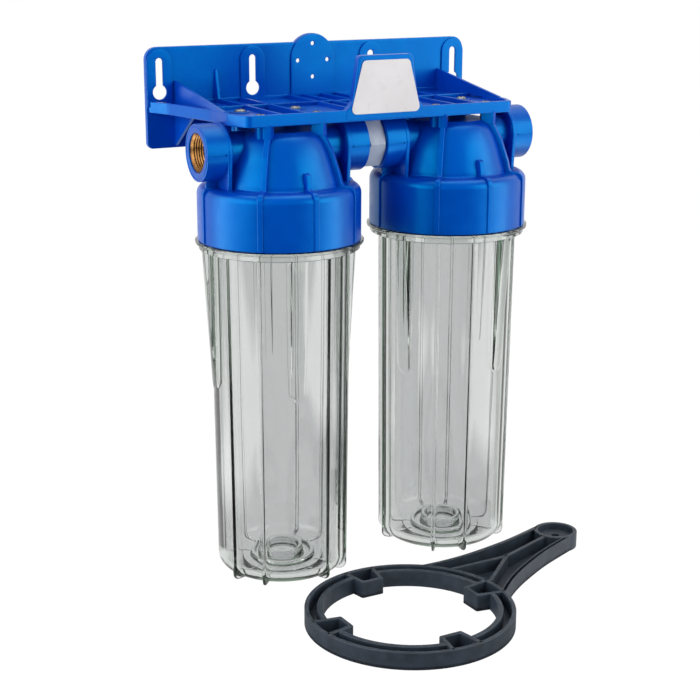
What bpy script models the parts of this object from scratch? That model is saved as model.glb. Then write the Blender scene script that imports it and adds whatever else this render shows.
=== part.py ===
"""Twin whole-house water filter: two clear sumps under ported caps on a wall bracket, and their wrench."""

import math

import bmesh
import bpy
from mathutils import Matrix, Vector

MM = 0.001

# Roundness of the meshes
ROUND_STEPS = 36
BORE_STEPS = 24
SMALL_STEPS = 10
ARC_STEPS = 5
CORNER_STEPS = 3
WELD = 0.01 * MM
SMOOTH_ANGLE = math.radians(40.0)

# Clearances and overruns
SEAT_GAP = 0.3 * MM
CUT_OVERRUN = 1.0 * MM
SINK = 0.6 * MM

# Layout: x runs along the bracket, y to the wall, z up from the floor
UNIT_CLEARANCE = 9.5 * MM

# Clear sump
SUMP_FLANGE_TOP = 248.7 * MM
FLANGE_RADIUS = 60.0 * MM
UNIT_HALF = FLANGE_RADIUS + UNIT_CLEARANCE
FLANGE_DISC = 2.2 * MM
FLANGE_DISC_PROUD = 2.5 * MM
FLANGE_BAND_RADIUS = FLANGE_RADIUS - FLANGE_DISC_PROUD
FLANGE_BAND = 4.1 * MM
FLANGE_WIDTH = 11.2 * MM
WALL_TOP_RADIUS = FLANGE_RADIUS - FLANGE_WIDTH
WALL_DRAFT = 2.2 * MM
WALL_LOW_RADIUS = WALL_TOP_RADIUS - WALL_DRAFT
SUMP_WALL = 4.0 * MM
SUMP_CORNER = 10.1 * MM
SUMP_FLOOR = 4.2 * MM
RIB_COUNT = 12
RIB_PROUD = 1.9 * MM
RIB_WIDTH = 2.2 * MM
RIB_FOOT = 4.5 * MM
RIB_FOOT_RADIUS = WALL_LOW_RADIUS - SUMP_CORNER - RIB_FOOT
BUTTRESS_COUNT = 4
BUTTRESS_WIDTH = 9.5 * MM
BUTTRESS_HEIGHT = 107.7 * MM
BUTTRESS_LOW_Z = SUMP_FLANGE_TOP - BUTTRESS_HEIGHT
BUTTRESS_SETBACK = 2.0 * MM
BUTTRESS_TOP_RADIUS = FLANGE_BAND_RADIUS - BUTTRESS_SETBACK
LEFT_RIB_ANGLE = math.radians(-12.0)
RIGHT_RIB_ANGLE = math.radians(19.0)
CENTRING_RADIUS = 12.8 * MM
CENTRING_WALL = 2.6 * MM
CENTRING_HEIGHT = 9.0 * MM
CENTRING_STEP_RADIUS = 22.0 * MM
CENTRING_STEP_HEIGHT = 2.4 * MM

# Thread between sump and cap
NECK_HEIGHT = 18.0 * MM
NECK_STEP = 0.8 * MM
NECK_RADIUS = WALL_TOP_RADIUS + NECK_STEP
THREAD_PITCH = 5.0 * MM
THREAD_TURNS = 2
THREAD_DEPTH = 3.0 * MM
THREAD_ROOT_WIDTH = 1.8 * MM
THREAD_CREST_WIDTH = 1.1 * MM
THREAD_START = 3.0 * MM
THREAD_CLEARANCE = 1.0 * MM

# O-ring in the middle of the neck's rim
O_RING_CORD = 3.0 * MM
O_RING_RADIUS = (NECK_RADIUS + WALL_TOP_RADIUS - SUMP_WALL) / 2
O_RING_SIDES = 8
GROOVE_DEPTH = 2.0 * MM

# Cap
CAP_BOTTOM = SUMP_FLANGE_TOP + SEAT_GAP
SKIRT_SETBACK = 2.0 * MM
CAP_SKIRT_RADIUS = FLANGE_RADIUS - SKIRT_SETBACK
SKIRT_HEIGHT = 39.0 * MM
CAP_SHOULDER_Z = CAP_BOTTOM + SKIRT_HEIGHT
CAP_SHOULDER_ROUND = 7.5 * MM
DOME_HEIGHT = 37.8 * MM
CAP_TOP = CAP_SHOULDER_Z + DOME_HEIGHT
CAP_WALL = 4.0 * MM
SHOULDER_WIDTH = 13.2 * MM
DOME_RADIUS = CAP_SKIRT_RADIUS - SHOULDER_WIDTH
DOME_TOP_SHARE = 0.6027
DOME_TOP_RADIUS = DOME_RADIUS * DOME_TOP_SHARE
DOME_SHARES = ((0.90, 0.10), (0.635, 0.59), (0.317, 0.87))
SPOUT_RADIUS = 14.0 * MM
SPOUT_BORE = 11.0 * MM
SPOUT_DROP = 60.0 * MM

# Ridges and fins of the cap
FIN_WIDTH = 3.6 * MM
FIN_SINK = 1.5 * MM
FIN_ANGLE = math.radians(38.7)
FIN_PROUD = 1.0 * MM
FIN_SHOULDER_PROUD = 2.8 * MM
FIN_SHOULDER_RADIUS = DOME_RADIUS + FIN_SHOULDER_PROUD
FIN_KNEE_RISE = 15.0 * MM
FIN_KNEE_Z = CAP_SHOULDER_Z + FIN_KNEE_RISE
FIN_TOP_PROUD = 3.0 * MM
FIN_TOP_RADIUS = DOME_TOP_RADIUS + FIN_TOP_PROUD
STUB_HEIGHT = 11.0 * MM
STUB_TOP_Z = CAP_SHOULDER_Z + STUB_HEIGHT
STUB_PROUD = 1.4 * MM
STUB_TOP_RADIUS = DOME_RADIUS + STUB_PROUD

# Ports
INSERT_BORE = 12.1 * MM
INSERT_WALL = 3.9 * MM
INSERT_RADIUS = INSERT_BORE + INSERT_WALL
INSERT_LENGTH = 15.0 * MM
INSERT_WAIST_DEPTH = 1.2 * MM
INSERT_WAIST_LENGTH = 4.0 * MM
PORT_DROP = 13.2 * MM
PORT_Z = CAP_TOP - PORT_DROP
PORT_WALL = 3.8 * MM
PORT_RADIUS = INSERT_RADIUS + PORT_WALL
PORT_OVERHANG = 4.3 * MM
PORT_REACH = CAP_SKIRT_RADIUS + PORT_OVERHANG
PORT_NECK_RADIUS = 13.0 * MM
PORT_NECK_INNER = 24.0 * MM
PORT_LIP = 1.0 * MM
PORT_WEB_SETBACK = 2.3 * MM
PORT_WEB_NEAR = PORT_REACH - PORT_LIP - INSERT_LENGTH - PORT_WEB_SETBACK
PORT_WEB_THICK = 3.2 * MM
PORT_WEB_PROUD = 0.3 * MM
PORT_WEB_RADIUS = PORT_RADIUS + PORT_WEB_PROUD
PORT_FIN_WIDTH = 2.4 * MM
PORT_FIN_SETBACK = 5.8 * MM
PORT_FIN_REACH = PORT_REACH - PORT_FIN_SETBACK
PASSAGE_RADIUS = 9.0 * MM
PASSAGE_WALL = 3.0 * MM
PASSAGE_INNER = 20.0 * MM

# Nipple between the caps
HEX_SIDES = 6
NIPPLE_FLATS = 33.0 * MM
NIPPLE_SPIGOT = 13.0 * MM
NIPPLE_BORE_STEP = 0.5 * MM
NIPPLE_BORE = PASSAGE_RADIUS - NIPPLE_BORE_STEP

# Bracket shelf
SHELF_UNDERSIDE = PORT_Z + PORT_WEB_RADIUS + SEAT_GAP
SHELF_THICK = 2.0 * MM
SHELF_FLOOR = SHELF_UNDERSIDE + SHELF_THICK
STRIP_THICK = 1.2 * MM
STRIP_TOP = SHELF_FLOOR + STRIP_THICK
LIP_DROP = 2.0 * MM
LIP_BOTTOM = SHELF_UNDERSIDE - LIP_DROP
LIP_HEIGHT = 8.2 * MM
LIP_TOP = LIP_BOTTOM + LIP_HEIGHT
LIP_WALL = 3.0 * MM
SHELF_FRONT = -28.6 * MM
SHELF_SIDE_HALF = UNIT_HALF + PORT_WEB_NEAR - SEAT_GAP
FRONT_CORNER_WIDTH = 7.2 * MM
SHELF_FRONT_HALF = SHELF_SIDE_HALF - FRONT_CORNER_WIDTH
FRONT_CORNER_DEPTH = 19.1 * MM
SHELF_CORNER_Y = SHELF_FRONT + FRONT_CORNER_DEPTH
SHELF_FLARE_Y = 16.0 * MM
FLARE_WIDTH = 11.8 * MM
SHELF_FLARE_HALF = SHELF_SIDE_HALF + FLARE_WIDTH
SHELF_RIB = 2.4 * MM
SHELF_RIB_DROP = 0.2 * MM
BADGE_RIB_X = 8.0 * MM
INNER_RIB_X = 20.0 * MM
RIB_BEFORE_UNIT = 9.5 * MM
RIB_PAST_UNIT = 9.1 * MM
SHELF_RIB_X = (BADGE_RIB_X, INNER_RIB_X, UNIT_HALF - RIB_BEFORE_UNIT, UNIT_HALF + RIB_PAST_UNIT)
SHELF_CROSS_Y = 36.0 * MM

# Bracket back plate
PLATE_OVERHANG = 20.8 * MM
PLATE_HALF = SHELF_SIDE_HALF + PLATE_OVERHANG
PLATE_FRONT = 84.9 * MM
PLATE_THICK = 4.5 * MM
PLATE_RISE = 38.4 * MM
PLATE_TOP = LIP_TOP + PLATE_RISE
PLATE_DROP = 34.4 * MM
PLATE_BOTTOM = LIP_TOP - PLATE_DROP
PLATE_CORNER = 9.0 * MM
FLARE_END_SETBACK = 17.9 * MM
SHELF_FLARE_END_Y = PLATE_FRONT - FLARE_END_SETBACK
PAD_WIDTH = 19.6 * MM
PAD_PROUD = 1.3 * MM
PAD_TOP_DROP = 1.4 * MM
PAD_TOP = PLATE_TOP - PAD_TOP_DROP
PAD_MARGIN = 0.2 * MM
INNER_KEYHOLE_X = 50.0 * MM
KEYHOLE_X = (INNER_KEYHOLE_X, PLATE_HALF - PAD_WIDTH / 2 - PAD_MARGIN)
KEYHOLE_SLOT = 5.2 * MM
KEYHOLE_TOP_DROP = 7.8 * MM
KEYHOLE_TOP = PLATE_TOP - KEYHOLE_TOP_DROP
KEYHOLE_ROUND = 10.6 * MM
KEYHOLE_RISE = 1.0 * MM
KEYHOLE_BOTTOM = LIP_TOP + KEYHOLE_RISE
TAB_RISE = 6.2 * MM
TAB_TOP = PLATE_TOP + TAB_RISE
TAB_RADIUS = 18.8 * MM
TAB_HOLE_DROP = 19.8 * MM
TAB_HOLE_Z = TAB_TOP - TAB_HOLE_DROP
TAB_HOLE_RADIUS = 1.5 * MM
TAB_HOLE_RING = 12.4 * MM
TAB_MARGIN = 1.6 * MM
TAB_PAD_HALF = TAB_RADIUS - TAB_MARGIN
TAB_PAD_RISE = 1.8 * MM
TAB_PAD_BOTTOM = LIP_TOP + TAB_PAD_RISE

# Bracket gussets
GUSSET = 2.5 * MM
GUSSET_RISE = 14.3 * MM
GUSSET_TOP = LIP_TOP + GUSSET_RISE
GUSSET_NOSE_Y = -4.0 * MM
GUSSET_NOSE_RISE = 0.6 * MM
LOW_GUSSET_Y = 45.0 * MM
SMALL_GUSSET_OFFSET = 29.5 * MM
SMALL_GUSSET_X = KEYHOLE_X[0] + SMALL_GUSSET_OFFSET
SMALL_GUSSET = 2.2 * MM
SMALL_GUSSET_RISE = 20.8 * MM
SMALL_GUSSET_TOP = LIP_TOP + SMALL_GUSSET_RISE
SMALL_GUSSET_FOOT = 5.5 * MM
SMALL_GUSSET_TIP = 1.2 * MM

# Badge on the front lip and its label plate
BADGE_RISE = 36.8 * MM
BADGE_TOP = LIP_TOP + BADGE_RISE
BADGE_TOP_HALF = 21.3 * MM
BADGE_FOOT_HALF = 31.6 * MM
BADGE_DEPTH = 6.0 * MM
BADGE_WALL = 3.0 * MM
BADGE_CORNER = 3.0 * MM
LABEL_DROP = 3.2 * MM
LABEL_BOTTOM = LIP_TOP - LABEL_DROP
LABEL_TOP_MARGIN = 3.3 * MM
LABEL_TOP = BADGE_TOP - LABEL_TOP_MARGIN
LABEL_FOOT_MARGIN = 3.6 * MM
LABEL_FOOT_HALF = BADGE_FOOT_HALF - LABEL_FOOT_MARGIN
LABEL_SIDE_MARGIN = 2.8 * MM
LABEL_TOP_HALF = BADGE_TOP_HALF - LABEL_SIDE_MARGIN
LABEL_CORNER = 3.5 * MM
LABEL_THICK = 0.8 * MM

# Screws that hang the caps on the shelf
SCREW_X = 21.5 * MM
SCREW_Y = 17.0 * MM
SCREW_HEAD_RADIUS = 4.0 * MM
SCREW_HEAD_HEIGHT = 2.3 * MM
SCREW_SHANK_RADIUS = 1.7 * MM
SCREW_LENGTH = 20.0 * MM
BOSS_RADIUS = 4.2 * MM
SCREW_POST_FLOOR = 3.2 * MM
SCREW_POST_LOW = STRIP_TOP - SCREW_LENGTH - SCREW_POST_FLOOR

# Sump wrench, lying on the floor in front
WRENCH_X = -38.0 * MM
WRENCH_HEIGHT = 12.4 * MM
WRENCH_RADIUS = 72.8 * MM
WRENCH_CLEARANCE = 3.2 * MM
WRENCH_Y = -WRENCH_RADIUS - FLANGE_RADIUS - WRENCH_CLEARANCE
WRENCH_WALL = 3.1 * MM
WRENCH_CHANNEL = 12.5 * MM
WRENCH_INNER = WRENCH_RADIUS - WRENCH_CHANNEL
WRENCH_INNER_WALL = 3.8 * MM
WRENCH_FLOOR = 3.0 * MM
LUG_COUNT = 4
LUG_FIRST_ANGLE = math.radians(1.5)
LUG_PROUD = 10.7 * MM
LUG_FACE = WRENCH_INNER - LUG_PROUD
LUG_HALF_ANGLE = math.radians(10.0)
LUG_WALL = 3.0 * MM
HANDLE_ANGLE = math.radians(21.8)
HANDLE_LENGTH = 111.0 * MM
CUP_REACH = WRENCH_RADIUS + HANDLE_LENGTH
CUP_RADIUS = 16.5 * MM
CUP_WALL = 3.1 * MM
CUP_FLOOR = 8.0 * MM
CUP_HOLE = 3.0 * MM
HANDLE_HALF = 16.0 * MM
HANDLE_SHARES = ((0.23, 2.95), (0.32, 2.42), (0.42, 1.95), (0.53, 1.58), (0.66, 1.30), (0.80, 1.10))
HANDLE_RIB = 3.0 * MM
BRANCH_LENGTH = 44.2 * MM
BRANCH_REACH = WRENCH_RADIUS + BRANCH_LENGTH
BRANCH_SPREAD = 17.0 * MM

# Worked out from the sizes above
SUMP_UNDERSIDE = RIB_PROUD
WALL_LOW_Z = SUMP_UNDERSIDE + SUMP_CORNER
GROOVE_HALF = O_RING_CORD / 2 + SEAT_GAP
NECK_TOP = SUMP_FLANGE_TOP + NECK_HEIGHT
O_RING_Z = NECK_TOP - GROOVE_DEPTH + SEAT_GAP + O_RING_CORD / 2
CAP_SEAT = O_RING_Z + O_RING_CORD / 2 + SEAT_GAP
CAP_BORE = NECK_RADIUS + THREAD_DEPTH + THREAD_CLEARANCE
PLATE_BACK = PLATE_FRONT + PLATE_THICK
HANDLE_TIP_X = WRENCH_X + CUP_REACH * math.cos(HANDLE_ANGLE) + CUP_RADIUS
ORIGIN_X = (HANDLE_TIP_X - PLATE_HALF) / 2
ORIGIN_Y = (PLATE_BACK + WRENCH_Y - WRENCH_RADIUS) / 2

# Planes that an outline is drawn in: its own x, its own y and the way its thickness runs
PLAN = ((1, 0, 0), (0, 1, 0), (0, 0, 1))
FRONT = ((1, 0, 0), (0, 0, 1), (0, -1, 0))
SIDE = ((0, 1, 0), (0, 0, 1), (1, 0, 0))


def clear_scene():
    """Removes what a new file holds."""
    for item in list(bpy.data.objects):
        bpy.data.objects.remove(item, do_unlink=True)


def new_collection(name):
    """Adds a collection to the scene."""
    group = bpy.data.collections.new(name)
    bpy.context.scene.collection.children.link(group)
    return group


def new_material(name, colour, roughness, metallic=0.0, alpha=1.0):
    """Makes a Principled material."""
    material = bpy.data.materials.new(name)
    material.use_nodes = True
    shader = material.node_tree.nodes["Principled BSDF"]
    shader.inputs["Base Color"].default_value = (*colour, 1.0)
    shader.inputs["Roughness"].default_value = roughness
    shader.inputs["Metallic"].default_value = metallic
    shader.inputs["Alpha"].default_value = alpha
    return material


def place(mesh, matrix=None):
    """Puts a mesh in the scene as a wire tool that is used up by the next cut or joint."""
    if matrix:
        mesh.transform(matrix)
    tool = bpy.data.objects.new("tool", mesh)
    tool.hide_render = True
    tool.display_type = "WIRE"
    CUTTERS.objects.link(tool)
    return tool


def evaluated(item):
    """Turns an object with its modifiers into a plain mesh and removes the object."""
    bpy.context.view_layer.update()
    graph = bpy.context.evaluated_depsgraph_get()
    mesh = bpy.data.meshes.new_from_object(item.evaluated_get(graph))
    bpy.data.objects.remove(item, do_unlink=True)
    return mesh


def welded(mesh, fill=False):
    """Welds a mesh, fills its open ends if asked, and turns its faces out."""
    work = bmesh.new()
    work.from_mesh(mesh)
    bmesh.ops.remove_doubles(work, verts=work.verts, dist=WELD)
    if fill:
        bmesh.ops.holes_fill(work, edges=[edge for edge in work.edges if edge.is_boundary])
    bmesh.ops.recalc_face_normals(work, faces=work.faces)
    work.to_mesh(mesh)
    work.free()
    return mesh


def plane_matrix(plane, offset):
    """Matrix from an outline's own axes to a plane, moved along the plane's thickness."""
    along, up, out = (Vector(axis) for axis in plane)
    matrix = Matrix((along, up, out)).transposed().to_4x4()
    matrix.translation = out * offset
    return matrix


def prism(outline, low, high, plane=PLAN, move=(0, 0, 0)):
    """Solid of a flat outline, from low to high across its plane."""
    curve = bpy.data.curves.new("outline", "CURVE")
    curve.dimensions = "2D"
    curve.fill_mode = "BOTH"
    curve.extrude = (high - low) / 2
    line = curve.splines.new("POLY")
    line.points.add(len(outline) - 1)
    for point, (x, y) in zip(line.points, outline):
        point.co = (x, y, 0, 1)
    line.use_cyclic_u = True
    item = bpy.data.objects.new("outline", curve)
    CUTTERS.objects.link(item)
    mesh = welded(evaluated(item))
    return place(mesh, Matrix.Translation(move) @ plane_matrix(plane, (low + high) / 2))


def box(low, high):
    """Box between two corners."""
    work = bmesh.new()
    bmesh.ops.create_cube(work, size=1)
    mesh = bpy.data.meshes.new("box")
    work.to_mesh(mesh)
    work.free()
    low, high = Vector(low), Vector(high)
    size = high - low
    return place(mesh, Matrix.Translation((low + high) / 2) @ Matrix.Diagonal((*size, 1)))


def cylinder(radius, low, high, plane=PLAN, move=(0, 0, 0), steps=BORE_STEPS):
    """Cylinder whose axis runs across the plane, from low to high."""
    work = bmesh.new()
    depth = high - low
    bmesh.ops.create_cone(work, cap_ends=True, segments=steps, radius1=radius, radius2=radius, depth=depth)
    mesh = bpy.data.meshes.new("cylinder")
    work.to_mesh(mesh)
    work.free()
    return place(mesh, Matrix.Translation(move) @ plane_matrix(plane, (low + high) / 2))


def turned(profile, closed=False, steps=ROUND_STEPS, move=(0, 0, 0), pitch=0, turns=1):
    """Solid of a profile of (radius, z) points turned round z; a pitch makes it climb as a thread."""
    mesh = bpy.data.meshes.new("profile")
    links = [(index, index + 1) for index in range(len(profile) - 1)]
    if closed:
        links.append((len(profile) - 1, 0))
    mesh.from_pydata([(radius, 0, z) for radius, z in profile], links, [])
    item = bpy.data.objects.new("profile", mesh)
    CUTTERS.objects.link(item)
    screw = item.modifiers.new("turn", "SCREW")
    screw.steps = steps
    screw.render_steps = steps
    screw.use_merge_vertices = True
    screw.merge_threshold = WELD
    screw.screw_offset = pitch
    screw.iterations = turns
    return place(welded(evaluated(item), fill=bool(pitch)), Matrix.Translation(move))


def combine(body, tools, operation):
    """Joins tools to a body, cuts them out of it or keeps what they share with it."""
    for tool in tools:
        step = body.modifiers.new("step", "BOOLEAN")
        step.operation = operation
        step.solver = "EXACT"
        step.object = tool
        mesh = evaluated(body)
        bpy.data.objects.remove(tool, do_unlink=True)
        body = place(mesh)
    return body


def join(body, *tools):
    """Joins tools to a body."""
    return combine(body, tools, "UNION")


def cut(body, *tools):
    """Cuts tools out of a body."""
    return combine(body, tools, "DIFFERENCE")


def duplicate(tool):
    """Copy of a tool with a mesh of its own."""
    return place(tool.data.copy())


def mirrored(tool):
    """A tool and its mirror image across the bracket's middle."""
    twin = tool.data.copy()
    twin.transform(Matrix.Diagonal((-1, 1, 1, 1)))
    twin.flip_normals()
    return tool, place(twin)


def finish(tool, name, material, pivot=None):
    """Turns a finished tool into a named part under the assembly's origin."""
    mesh = tool.data
    bpy.data.objects.remove(tool, do_unlink=True)
    work = bmesh.new()
    work.from_mesh(mesh)
    bmesh.ops.remove_doubles(work, verts=work.verts, dist=WELD)
    work.to_mesh(mesh)
    work.free()
    pivot = Vector(pivot or (0, 0, 0))
    mesh.transform(Matrix.Translation(-pivot))
    mesh.shade_smooth()
    mesh.set_sharp_from_angle(angle=SMOOTH_ANGLE)
    mesh.materials.clear()
    mesh.materials.append(material)
    part = bpy.data.objects.new(name, mesh)
    part.location = pivot
    part.parent = ORIGIN
    PARTS.objects.link(part)
    return part


def arc(centre_x, centre_y, radius, start, end, steps=ARC_STEPS):
    """Points of an arc between two angles in degrees."""
    points = []
    for step in range(steps + 1):
        angle = math.radians(start + (end - start) * step / steps)
        points.append((centre_x + radius * math.cos(angle), centre_y + radius * math.sin(angle)))
    return points


def inset(outline, distance):
    """Outline with straight sides moved inwards; the outline runs anticlockwise."""
    count = len(outline)
    moved = []
    for index in range(count):
        before = Vector(outline[index - 1])
        here = Vector(outline[index])
        after = Vector(outline[(index + 1) % count])
        first = (here - before).normalized()
        second = (after - here).normalized()
        first_normal = Vector((-first.y, first.x))
        second_normal = Vector((-second.y, second.x))
        spread = 1 + first_normal.dot(second_normal)
        moved.append(tuple(here + (first_normal + second_normal) * (distance / spread)))
    return moved


def radial_plane(angle):
    """Plane of (radius, z) at an angle from the front towards +x."""
    out = (math.sin(angle), -math.cos(angle), 0)
    across = (math.cos(angle), math.sin(angle), 0)
    return out, (0, 0, 1), tuple(-value for value in across)


def wall_radius(z):
    """Outer radius of the sump's drafted wall at a height."""
    slope = (WALL_TOP_RADIUS - WALL_LOW_RADIUS) / (SUMP_FLANGE_TOP - WALL_LOW_Z)
    return WALL_LOW_RADIUS + slope * (z - WALL_LOW_Z)


def sump_profile():
    """Half section of the sump, up its inside, over the rim with its groove and down its outside."""
    band_low = SUMP_FLANGE_TOP - FLANGE_DISC - FLANGE_BAND
    floor_z = SUMP_UNDERSIDE + SUMP_FLOOR
    ring_top = floor_z + CENTRING_HEIGHT
    step_z = floor_z + CENTRING_STEP_HEIGHT
    inner_corner = SUMP_CORNER - SUMP_WALL
    inner_low = WALL_LOW_RADIUS - SUMP_WALL
    groove_floor = NECK_TOP - GROOVE_DEPTH
    ring_inner = CENTRING_RADIUS - CENTRING_WALL
    profile = [(0, floor_z), (ring_inner, floor_z), (ring_inner, ring_top), (CENTRING_RADIUS, ring_top)]
    profile += [(CENTRING_RADIUS, step_z), (CENTRING_STEP_RADIUS, step_z), (CENTRING_STEP_RADIUS, floor_z)]
    profile += arc(inner_low - inner_corner, floor_z + inner_corner, inner_corner, -90, 0, CORNER_STEPS)
    profile += [
        (WALL_TOP_RADIUS - SUMP_WALL, NECK_TOP),
        (O_RING_RADIUS - GROOVE_HALF, NECK_TOP),
        (O_RING_RADIUS - GROOVE_HALF, groove_floor),
        (O_RING_RADIUS + GROOVE_HALF, groove_floor),
        (O_RING_RADIUS + GROOVE_HALF, NECK_TOP),
        (NECK_RADIUS, NECK_TOP),
        (NECK_RADIUS, SUMP_FLANGE_TOP),
        (FLANGE_RADIUS, SUMP_FLANGE_TOP),
        (FLANGE_RADIUS, SUMP_FLANGE_TOP - FLANGE_DISC),
        (FLANGE_BAND_RADIUS, SUMP_FLANGE_TOP - FLANGE_DISC),
        (FLANGE_BAND_RADIUS, band_low),
        (wall_radius(band_low), band_low),
    ]
    profile += arc(WALL_LOW_RADIUS - SUMP_CORNER, WALL_LOW_Z, SUMP_CORNER, 0, -90, CORNER_STEPS)
    return profile + [(0, SUMP_UNDERSIDE)]


def rib_outline():
    """Outline of one rib of the sump in (radius, z), sunk into the wall and flat at its foot."""
    top = SUMP_FLANGE_TOP - FLANGE_DISC
    centre = WALL_LOW_RADIUS - SUMP_CORNER
    outline = [(RIB_FOOT_RADIUS, SUMP_UNDERSIDE + SINK), (RIB_FOOT_RADIUS, 0)]
    outline += arc(centre, WALL_LOW_Z, SUMP_CORNER + RIB_PROUD, -90, 0, CORNER_STEPS)
    outline += [(wall_radius(top) + RIB_PROUD, top), (wall_radius(top) - SINK, top)]
    outline += arc(centre, WALL_LOW_Z, SUMP_CORNER - SINK, 0, -90, CORNER_STEPS)
    return outline


def buttress(angle):
    """Wedge under the flange, round at its lower end and thinning down to the rib it stands on."""
    half = BUTTRESS_WIDTH / 2
    top = SUMP_FLANGE_TOP - FLANGE_DISC
    low = BUTTRESS_LOW_Z
    inner = wall_radius(low) - SINK
    outline = arc(0, low + half, half, -180, 0) + [(half, top), (-half, top)]
    wedge = prism(outline, inner, BUTTRESS_TOP_RADIUS, FRONT)
    for vertex in wedge.data.vertices:
        share = (vertex.co.z - low) / (top - low)
        proud = wall_radius(low) + RIB_PROUD
        if vertex.co.y < -(inner + BUTTRESS_TOP_RADIUS) / 2:
            vertex.co.y = -(proud + share * (BUTTRESS_TOP_RADIUS - proud))
    wedge.data.transform(Matrix.Rotation(angle, 4, "Z"))
    return wedge


def thread_ridge(root_radius, crest_radius, start_z):
    """Helical ridge between a root buried in its wall and a crest, climbing to the right."""
    root, crest = THREAD_ROOT_WIDTH / 2, THREAD_CREST_WIDTH / 2
    middle = start_z + root
    profile = [(root_radius, middle - root), (root_radius, middle + root)]
    profile += [(crest_radius, middle + crest), (crest_radius, middle - crest)]
    return turned(profile, True, pitch=THREAD_PITCH, turns=THREAD_TURNS)


def sump(name, unit_x, rib_angle):
    """Clear sump with its ribs, buttresses, flange, male thread and O-ring groove."""
    move = (unit_x, 0, 0)
    body = turned(sump_profile())
    for index in range(RIB_COUNT):
        angle = rib_angle + index * math.tau / RIB_COUNT
        body = join(body, prism(rib_outline(), -RIB_WIDTH / 2, RIB_WIDTH / 2, radial_plane(angle)))
    for index in range(BUTTRESS_COUNT):
        body = join(body, buttress(rib_angle + index * math.tau / BUTTRESS_COUNT))
    start = SUMP_FLANGE_TOP + THREAD_START
    body = join(body, thread_ridge(NECK_RADIUS - SINK, NECK_RADIUS + THREAD_DEPTH, start))
    body.data.transform(Matrix.Translation(move))
    return finish(body, name, CLEAR, move)


def o_ring(name, unit_x):
    """O-ring in the rim of the sump's neck."""
    half = O_RING_CORD / 2
    profile = []
    for index in range(O_RING_SIDES):
        angle = -math.tau * index / O_RING_SIDES
        profile.append((O_RING_RADIUS + half * math.cos(angle), O_RING_Z + half * math.sin(angle)))
    move = (unit_x, 0, 0)
    return finish(turned(profile, True, move=move), name, RUBBER, move)


def dome_profile(offset):
    """Curve of the dome from its flat top down to the shoulder, moved inwards by an offset."""
    narrow = DOME_TOP_RADIUS - offset
    run = DOME_RADIUS - DOME_TOP_RADIUS
    height = CAP_TOP - offset - CAP_SHOULDER_Z
    profile = [(narrow, CAP_TOP - offset)]
    for rise, width in DOME_SHARES:
        profile.append((narrow + width * run, CAP_SHOULDER_Z + rise * height))
    return profile + [(narrow + run, CAP_SHOULDER_Z)]


def skirt_curve(offset):
    """Round shoulder and straight skirt of the cap, moved outwards by an offset."""
    centre = CAP_SKIRT_RADIUS - CAP_SHOULDER_ROUND
    curve = arc(centre, CAP_SHOULDER_Z - CAP_SHOULDER_ROUND, CAP_SHOULDER_ROUND + offset, 90, 0, CORNER_STEPS)
    return curve + [(CAP_SKIRT_RADIUS + offset, CAP_BOTTOM)]


def cap_body():
    """Outside of the cap as a solid: dome, shoulder and skirt."""
    return turned([(0, CAP_TOP)] + dome_profile(0) + skirt_curve(0) + [(0, CAP_BOTTOM)])


def fin(angle, head):
    """Ridge up the skirt and over the shoulder; the head is what it has above that, from the inside out."""
    outline = head + skirt_curve(FIN_PROUD)
    outline += [(CAP_SKIRT_RADIUS - FIN_SINK, CAP_BOTTOM)]
    outline += [(CAP_SKIRT_RADIUS - FIN_SINK, CAP_SHOULDER_Z - CAP_SHOULDER_ROUND)]
    return prism(outline, -FIN_WIDTH / 2, FIN_WIDTH / 2, radial_plane(angle))


def cap_fins():
    """Ridges of the cap: tall fins beside the screws, stubs in front and behind, low ones at the ports."""
    post_top = SHELF_UNDERSIDE - SEAT_GAP
    inside = list(reversed(dome_profile(FIN_SINK)))
    post = [(FIN_TOP_RADIUS - FIN_WIDTH, post_top), (FIN_TOP_RADIUS, post_top), (FIN_TOP_RADIUS, CAP_TOP)]
    tall = inside + post + [(FIN_SHOULDER_RADIUS - FIN_PROUD, FIN_KNEE_Z)]
    tall.append((FIN_SHOULDER_RADIUS, CAP_SHOULDER_Z + FIN_PROUD))
    stub = [(DOME_RADIUS - FIN_SINK, CAP_SHOULDER_Z), (DOME_RADIUS - 2 * FIN_SINK, STUB_TOP_Z)]
    stub += [(STUB_TOP_RADIUS, STUB_TOP_Z), (FIN_SHOULDER_RADIUS, CAP_SHOULDER_Z + FIN_PROUD)]
    low = [(DOME_RADIUS - FIN_SINK, CAP_SHOULDER_Z), (DOME_RADIUS, CAP_SHOULDER_Z + FIN_PROUD)]
    fins = [fin(side + turn, tall) for side in (0, math.pi) for turn in (-FIN_ANGLE, FIN_ANGLE)]
    fins += [fin(angle, stub) for angle in (0, math.pi)]
    fins += [fin(angle, low) for angle in (-math.pi / 2, math.pi / 2)]
    return fins


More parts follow.
